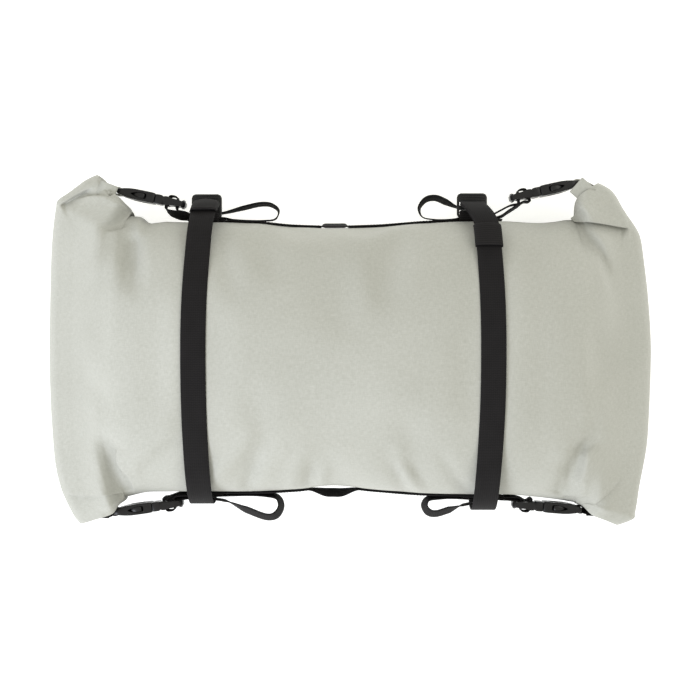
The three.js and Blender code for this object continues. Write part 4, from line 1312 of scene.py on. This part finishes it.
# %% [markdown]
# ## Moulded pieces
#
# The hard parts are slabs with rounded edges, cut by slots and windows. A slab is one face from a few
# vertices, extruded, and bevelled while it is still simple. Where two bevels meet they leave faces of no
# area, which are merged away, because a Boolean needs a clean shape. Slots and windows are cut with a
# Boolean modifier, whose result is taken as a mesh, so no modifier or cutting shape stays in the scene.

# %% Slabs and cuts
TOUCHING = 0.01  # points that are closer than this are one point


def slab(outline, low, high, rounding=0.0, segments=3, upright=False):
    """A closed slab over an outline in x and y (or x and z, if upright), from low to high, in mm."""
    bm = bmesh.new()
    spots = [(x, 0, y) if upright else (x, y, 0) for x, y in outline]
    face = bm.faces.new([bm.verts.new(spot) for spot in spots])
    way = Vector((0, 1, 0)) if upright else Vector((0, 0, 1))
    bmesh.ops.translate(bm, vec=way * low, verts=bm.verts)
    risen = bmesh.ops.extrude_face_region(bm, geom=[face], use_keep_orig=True)["geom"]
    top = [part for part in risen if isinstance(part, bmesh.types.BMVert)]
    bmesh.ops.translate(bm, vec=way * (high - low), verts=top)
    bmesh.ops.recalc_face_normals(bm, faces=bm.faces)
    if rounding:
        round_edges(bm, rounding, segments)
    return bm


def round_edges(bm, radius, segments=3, angle=30):
    """Bevels the edges that bend by more than an angle."""
    sharp = [e for e in bm.edges if e.is_manifold and e.calc_face_angle(0) > math.radians(angle)]
    bmesh.ops.bevel(
        bm,
        geom=sharp,
        offset=radius,
        segments=segments,
        profile=0.5,
        affect="EDGES",
        material=-1,
        clamp_overlap=True,
    )
    bmesh.ops.remove_doubles(bm, verts=bm.verts, dist=TOUCHING)
    bmesh.ops.dissolve_degenerate(bm, dist=TOUCHING, edges=bm.edges)


def block(x, y, z, rounding=0.0, segments=3):
    """A slab between two places on each axis."""
    return slab([(x[0], y[0]), (x[1], y[0]), (x[1], y[1]), (x[0], y[1])], *z, rounding, segments)


def carved(base, steps):
    """The base shape after each step, which cuts away ("DIFFERENCE") or joins on ("UNION") a closed shape."""
    objects = []
    for bm in [base] + [shape for _, shape in steps]:
        mesh = bpy.data.meshes.new("raw")
        bm.to_mesh(mesh)
        bm.free()
        objects.append(bpy.data.objects.new("raw", mesh))
        scene.collection.objects.link(objects[-1])
    for (operation, _), tool in zip(steps, objects[1:]):
        cut = objects[0].modifiers.new("cut", "BOOLEAN")
        cut.operation, cut.object, cut.solver = operation, tool, "EXACT"
    made = objects[0].evaluated_get(bpy.context.evaluated_depsgraph_get()).to_mesh()
    bm = bmesh.new()
    bm.from_mesh(made)
    for raw in objects:
        mesh = raw.data
        bpy.data.objects.remove(raw)
        bpy.data.meshes.remove(mesh)
    bmesh.ops.remove_doubles(bm, verts=bm.verts, dist=1e-5)
    return bm


print("moulding helpers ready")

# %% [markdown]
# ## Ladder locks
#
# A ladder lock is a flat frame with two slots. The strap runs down through the outer slot and round the
# middle bar. The outer bar is the lip that a thumb lifts to let the strap slip, so it is wide and ribbed.

# %% Ladder locks
INNER_BAR, MIDDLE_BAR, INNER_SLOT, OUTER_SLOT = 3.2, 4.6, 4.6, 3.7
SLOT_HALF = 13  # half the length of a slot
RIB_HALF, RIB_STEP, RIB_TALL = 12.5, 2.6, 1.1  # half the length of a rib, from rib to rib, height


def ladder_lock(name):
    """A ladder lock in mm, in the box of its CAD node."""
    low, high = (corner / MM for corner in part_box(f"ladder_lock_{name}"))
    middle, level = (low.x + high.x) / 2, (low.z + high.z) / 2
    inner = low.y + INNER_BAR
    outer = inner + INNER_SLOT + MIDDLE_BAR
    lip = outer + INNER_SLOT
    frame_shape = [
        (low.x, low.y + 3), (low.x + 0.9, low.y + 0.9), (low.x + 3, low.y),
        (high.x - 3, low.y), (high.x - 0.9, low.y + 0.9), (high.x, low.y + 3),
        (high.x, high.y - 4), (high.x - 1.2, high.y - 1.2), (high.x - 4, high.y),
        (low.x + 4, high.y), (low.x + 1.2, high.y - 1.2), (low.x, high.y - 4),
    ]
    steps = [
        ("DIFFERENCE", block((middle - SLOT_HALF, middle + SLOT_HALF), (y, y + slot), (0, 200)))
        for y, slot in ((inner, INNER_SLOT), (outer, OUTER_SLOT))
    ]
    for k in range(3):
        y = lip + RIB_STEP / 2 + RIB_STEP * k
        across = middle - RIB_HALF, middle + RIB_HALF
        rib = block(across, (y - RIB_STEP / 4, y + RIB_STEP / 4), (level, high.z + RIB_TALL), 0.4, 2)
        steps.append(("UNION", rib))
    return carved(slab(frame_shape, low.z, high.z, 0.9), steps)


for name in MAIN_STRAPS:
    bm = ladder_lock(name)
    bmesh.ops.scale(bm, vec=(MM, MM, MM), verts=bm.verts)
    node = f"ladder_lock_{name}"
    lock = piece(f"{node}.moulded", bm, plastic_material, node, slot="moulded_plastic", sharp=40)
    print("ladder lock", name, "faces:", len(lock.data.polygons))

# %% [markdown]
# ## Lock anchors
#
# Each ladder lock is held by a doubled piece of webbing that is sewn to the bag's edge, comes up through
# the lock's inner slot and goes back over its inner bar. Its two layers are pressed together, so one
# thick strip can stand for both. It bends in the plane of Y and Z, over seven places read off the lock.

# %% Lock anchors
ANCHOR_WIDE, ANCHOR_THICK = 25.8, 4.0
for name in MAIN_STRAPS:
    low, high = (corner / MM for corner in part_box(f"ladder_lock_{name}"))
    slot_y, top = low.y + INNER_BAR + INNER_SLOT / 2, high.z
    line = [(slot_y, top - 3.5), (slot_y, top - 0.5), (slot_y - 0.8, top + 1.4), (low.y + 1.5, top + 2.2)]
    line += [(low.y - 1, top + 1.6), (low.y - 2.8, top - 0.6), (low.y - 3.2, top - 3)]
    points = np.array([((low.x + high.x) / 2, y, z) for y, z in line])
    bm = strip(bent_stations(points, [1.0, 0, 0]), ANCHOR_WIDE, ANCHOR_THICK)
    anchor = piece(f"lock_anchor_{name}", bm, webbing_material, slot="webbing")
    print("lock anchor", name, "faces:", len(anchor.data.polygons))

# %% [markdown]
# ## Quick-release buckles
#
# A buckle has two halves. The female half is a flat sleeve with a leaf-shaped window in each side. The
# male half pushes in from the bag's side, and its two springy prongs snap out into the windows, where a
# finger and thumb can squeeze them. Seen from the front the buckles stand on edge, so the windows and
# prongs are what shows. One of each half is made along X, and copies are turned into the four corners.

# %% Female half
JOINT, WIDE, FEMALE_THICK = 4, 28, 11
BAR_HALF = 10.6  # half the length of the bars and of the slots beside them


def thinned(bm, at, shares):
    """Cuts a shape across at places along X, and makes its thickness there a share of what it was."""
    for x in at[1:-1]:
        parts = bm.verts[:] + bm.edges[:] + bm.faces[:]
        bmesh.ops.bisect_plane(bm, geom=parts, plane_co=(x, 0, 0), plane_no=(1, 0, 0))
    for vert in bm.verts:
        vert.co.z *= np.interp(vert.co.x, at, shares)


def female_half():
    """The sleeve that takes the prongs, in mm, along X."""
    half = WIDE / 2
    side = [(REAR, half - 3.2), (REAR + 1.2, half - 1.5), (REAR + 4, half - 0.5)]
    side += [(-18, half), (0, half), (JOINT, half - 0.8)]
    shell = slab(side + [(x, -y) for x, y in side[::-1]], -FEMALE_THICK / 2, FEMALE_THICK / 2)
    thinned(shell, [REAR, -33, -29, -24, -18, -10, -1, JOINT], [0.42, 0.52, 0.72, 0.88, 0.97, 1, 1, 0.95])
    round_edges(shell, 1.3)
    leaf = [(-21.5, 0), (-19, 1.3), (-15, 2.5), (-10.5, 3.1), (-6.5, 3.1), (-5, 2.4), (-4.6, 0)]
    leaf += [(x, -z) for x, z in leaf[-2:0:-1]]
    window = slab(leaf, -half - 2, half + 2, upright=True)
    pocket = block((-23, JOINT + 2), (-half + 3.4, half - 3.4), (-3.1, 3.1))
    slot = block((REAR + BAR, REAR + BAR + 5), (-BAR_HALF, BAR_HALF), (-9, 9), 1.0, 2)
    sunk = FEMALE_THICK / 2 - 0.5, -FEMALE_THICK / 2 - 1.5
    panels = [block((-19.5, -3.5), (-7, 7), (z, z + 2), 0.5, 2) for z in sunk]
    return carved(shell, [("DIFFERENCE", cut) for cut in (window, pocket, slot, *panels)])


female = female_half()
print("female half faces:", len(female.faces))

# %% [markdown]
# ## The male half
#
# The male half is a base with two slots and a bar for the strap, two prongs and a guide between them. Each
# is a slab of its own, joined on by a Boolean. Drawing all of it as one outline would take fewer steps,
# but the prongs are thinner than the base, so they have to be slabs of another thickness.

# %% Male half
PRONG_DEEP = 2.6  # half the thickness of the prongs and the guide


def male_half():
    """The base and its prongs, in mm, along X."""
    half = WIDE / 2
    start = JOINT + GAP
    side = [(start, half - 0.9), (11, half - 0.5), (14, half - 1.2)]
    side += [(27, half - 1.2), (33, half - 2.2), (BUCKLE_FRONT, half - 5)]
    base = slab(side + [(x, -y) for x, y in side[::-1]], -MALE_THICK / 2, MALE_THICK / 2)
    shares = [1.12, 1.15, 1.1, 0.85, 0.85, 0.8, 0.9, 0.6]
    thinned(base, [start, 8, 13, 16.5, 22, 27, 32, BUCKLE_FRONT], shares)
    round_edges(base, 1.1)
    prong = [
        (start + 4, half - 3.8), (-5.6, half - 4.2), (-6.2, half - 1.5), (-8, half - 0.3),
        (-12, half - 0.4), (-16, half - 1.3), (-20.5, half - 4.6), (-21, half - 6.4), (start + 4, half - 8),
    ]
    arms = [slab([(x, s * y) for x, y in prong], -PRONG_DEEP, PRONG_DEEP, 0.55, 2) for s in (1, -1)]
    guide = [(start + 4, 1.6), (-12, 1.2), (-12, -1.2), (start + 4, -1.6)]
    guide = slab(guide, -PRONG_DEEP, PRONG_DEEP, 0.4, 2)
    slots = [block(along, (-BAR_HALF, BAR_HALF), (-9, 9), 0.8, 2) for along in MALE_SLOTS]
    grips = [block((32.6 + 1.3 * k, 33.2 + 1.3 * k), (-7.5, 7.5), (-4.4, 4.4), 0.25, 2) for k in range(2)]
    steps = [("UNION", shape) for shape in (*arms, guide)] + [("DIFFERENCE", cut) for cut in slots]
    return carved(base, steps + [("UNION", grip) for grip in grips])


male = male_half()
print("male half faces:", len(male.faces))

# %% [markdown]
# ## Buckles in their corners
#
# A finished object sits at the origin, so each copy of a half is moved by its mesh: the matrix of the
# buckle's frame turns it into its corner and brings it from millimetres to metres.

# %% Buckles in their corners
for name in BUCKLES:
    for half_name, half_shape in (("female", female), ("male", male)):
        bm = half_shape.copy()
        bmesh.ops.transform(bm, matrix=Matrix.Scale(MM, 4) @ buckle_frame(name), verts=bm.verts)
        node = f"buckle_{half_name}_{name}"
        piece(f"{node}.moulded", bm, plastic_material, node, slot="moulded_plastic", sharp=40)
female.free()
male.free()
print("buckle halves:", 2 * len(BUCKLES))

# %% [markdown]
# ## Table and light
#
# The bag was photographed on white, with soft light from the lower left that leaves hardly a shadow. The
# table is nearly white and glows a little, as a lit backdrop does. A faintly warm surround gives most of
# the light. One soft cool lamp low on the left models the folds, and a weak one opposite fills their dark
# sides. A sun lamp would be simpler, but its shadows are too hard for cloth.

# %% Table and light
table = Finish("pale_table")
table_grain = table.noise(table.place(), 240, 2)
table_colour = table.mix(table_grain, (0.93, 0.93, 0.93, 1), (0.97, 0.97, 0.97, 1))
table_material = table.surface(
    height=table_grain,
    bump=0.03,
    depth=0.1 * MM,
    Base_Color=table_colour,
    Roughness=0.8 + table_grain * 0.1,
    Emission_Color=table_colour,
    Emission_Strength=0.42,
)
bm = bmesh.new()
bmesh.ops.create_grid(bm, x_segments=4, y_segments=4, size=6)
bmesh.ops.translate(bm, vec=(0, 0, -0.3 * MM), verts=bm.verts)
floor = made_object("table", bm)
floor.data.materials.append(table_material)
floor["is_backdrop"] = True

world = bpy.data.worlds.new("studio")
world.use_nodes = True
surround = world.node_tree.nodes["Background"].inputs
surround["Color"].default_value = (1, 0.996, 0.915, 1)
surround["Strength"].default_value = 0.95
scene.world = world
scene.view_settings.view_transform = "Standard"


def soft_light(name, place, size, power, colour):
    """A round lamp that faces the bag."""
    data = bpy.data.lights.new(name, "AREA")
    data.shape = "DISK"
    data.size = size
    data.energy = power
    data.color = colour
    light = bpy.data.objects.new(name, data)
    light.location = place
    light.rotation_euler = (BAG_MIDDLE - Vector(place)).to_track_quat("-Z", "Y").to_euler()
    scene.collection.objects.link(light)


BAG_MIDDLE = Vector((0, 0, 0.1))
soft_light("key", (-2.0, -1.4, 1.75), size=1.5, power=57.5, colour=(0.84, 0.885, 1.0))
soft_light("fill", (1.8, 0.9, 2.0), size=2.0, power=12.5, colour=(1.0, 0.99, 0.96))

# %% [markdown]
# ## Sizes and finish
#
# Cloth may stand a little proud of the CAD model, but the bag must not grow. The last line takes the box
# of every shown piece but the table.

# %% Sizes and finish
low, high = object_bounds()
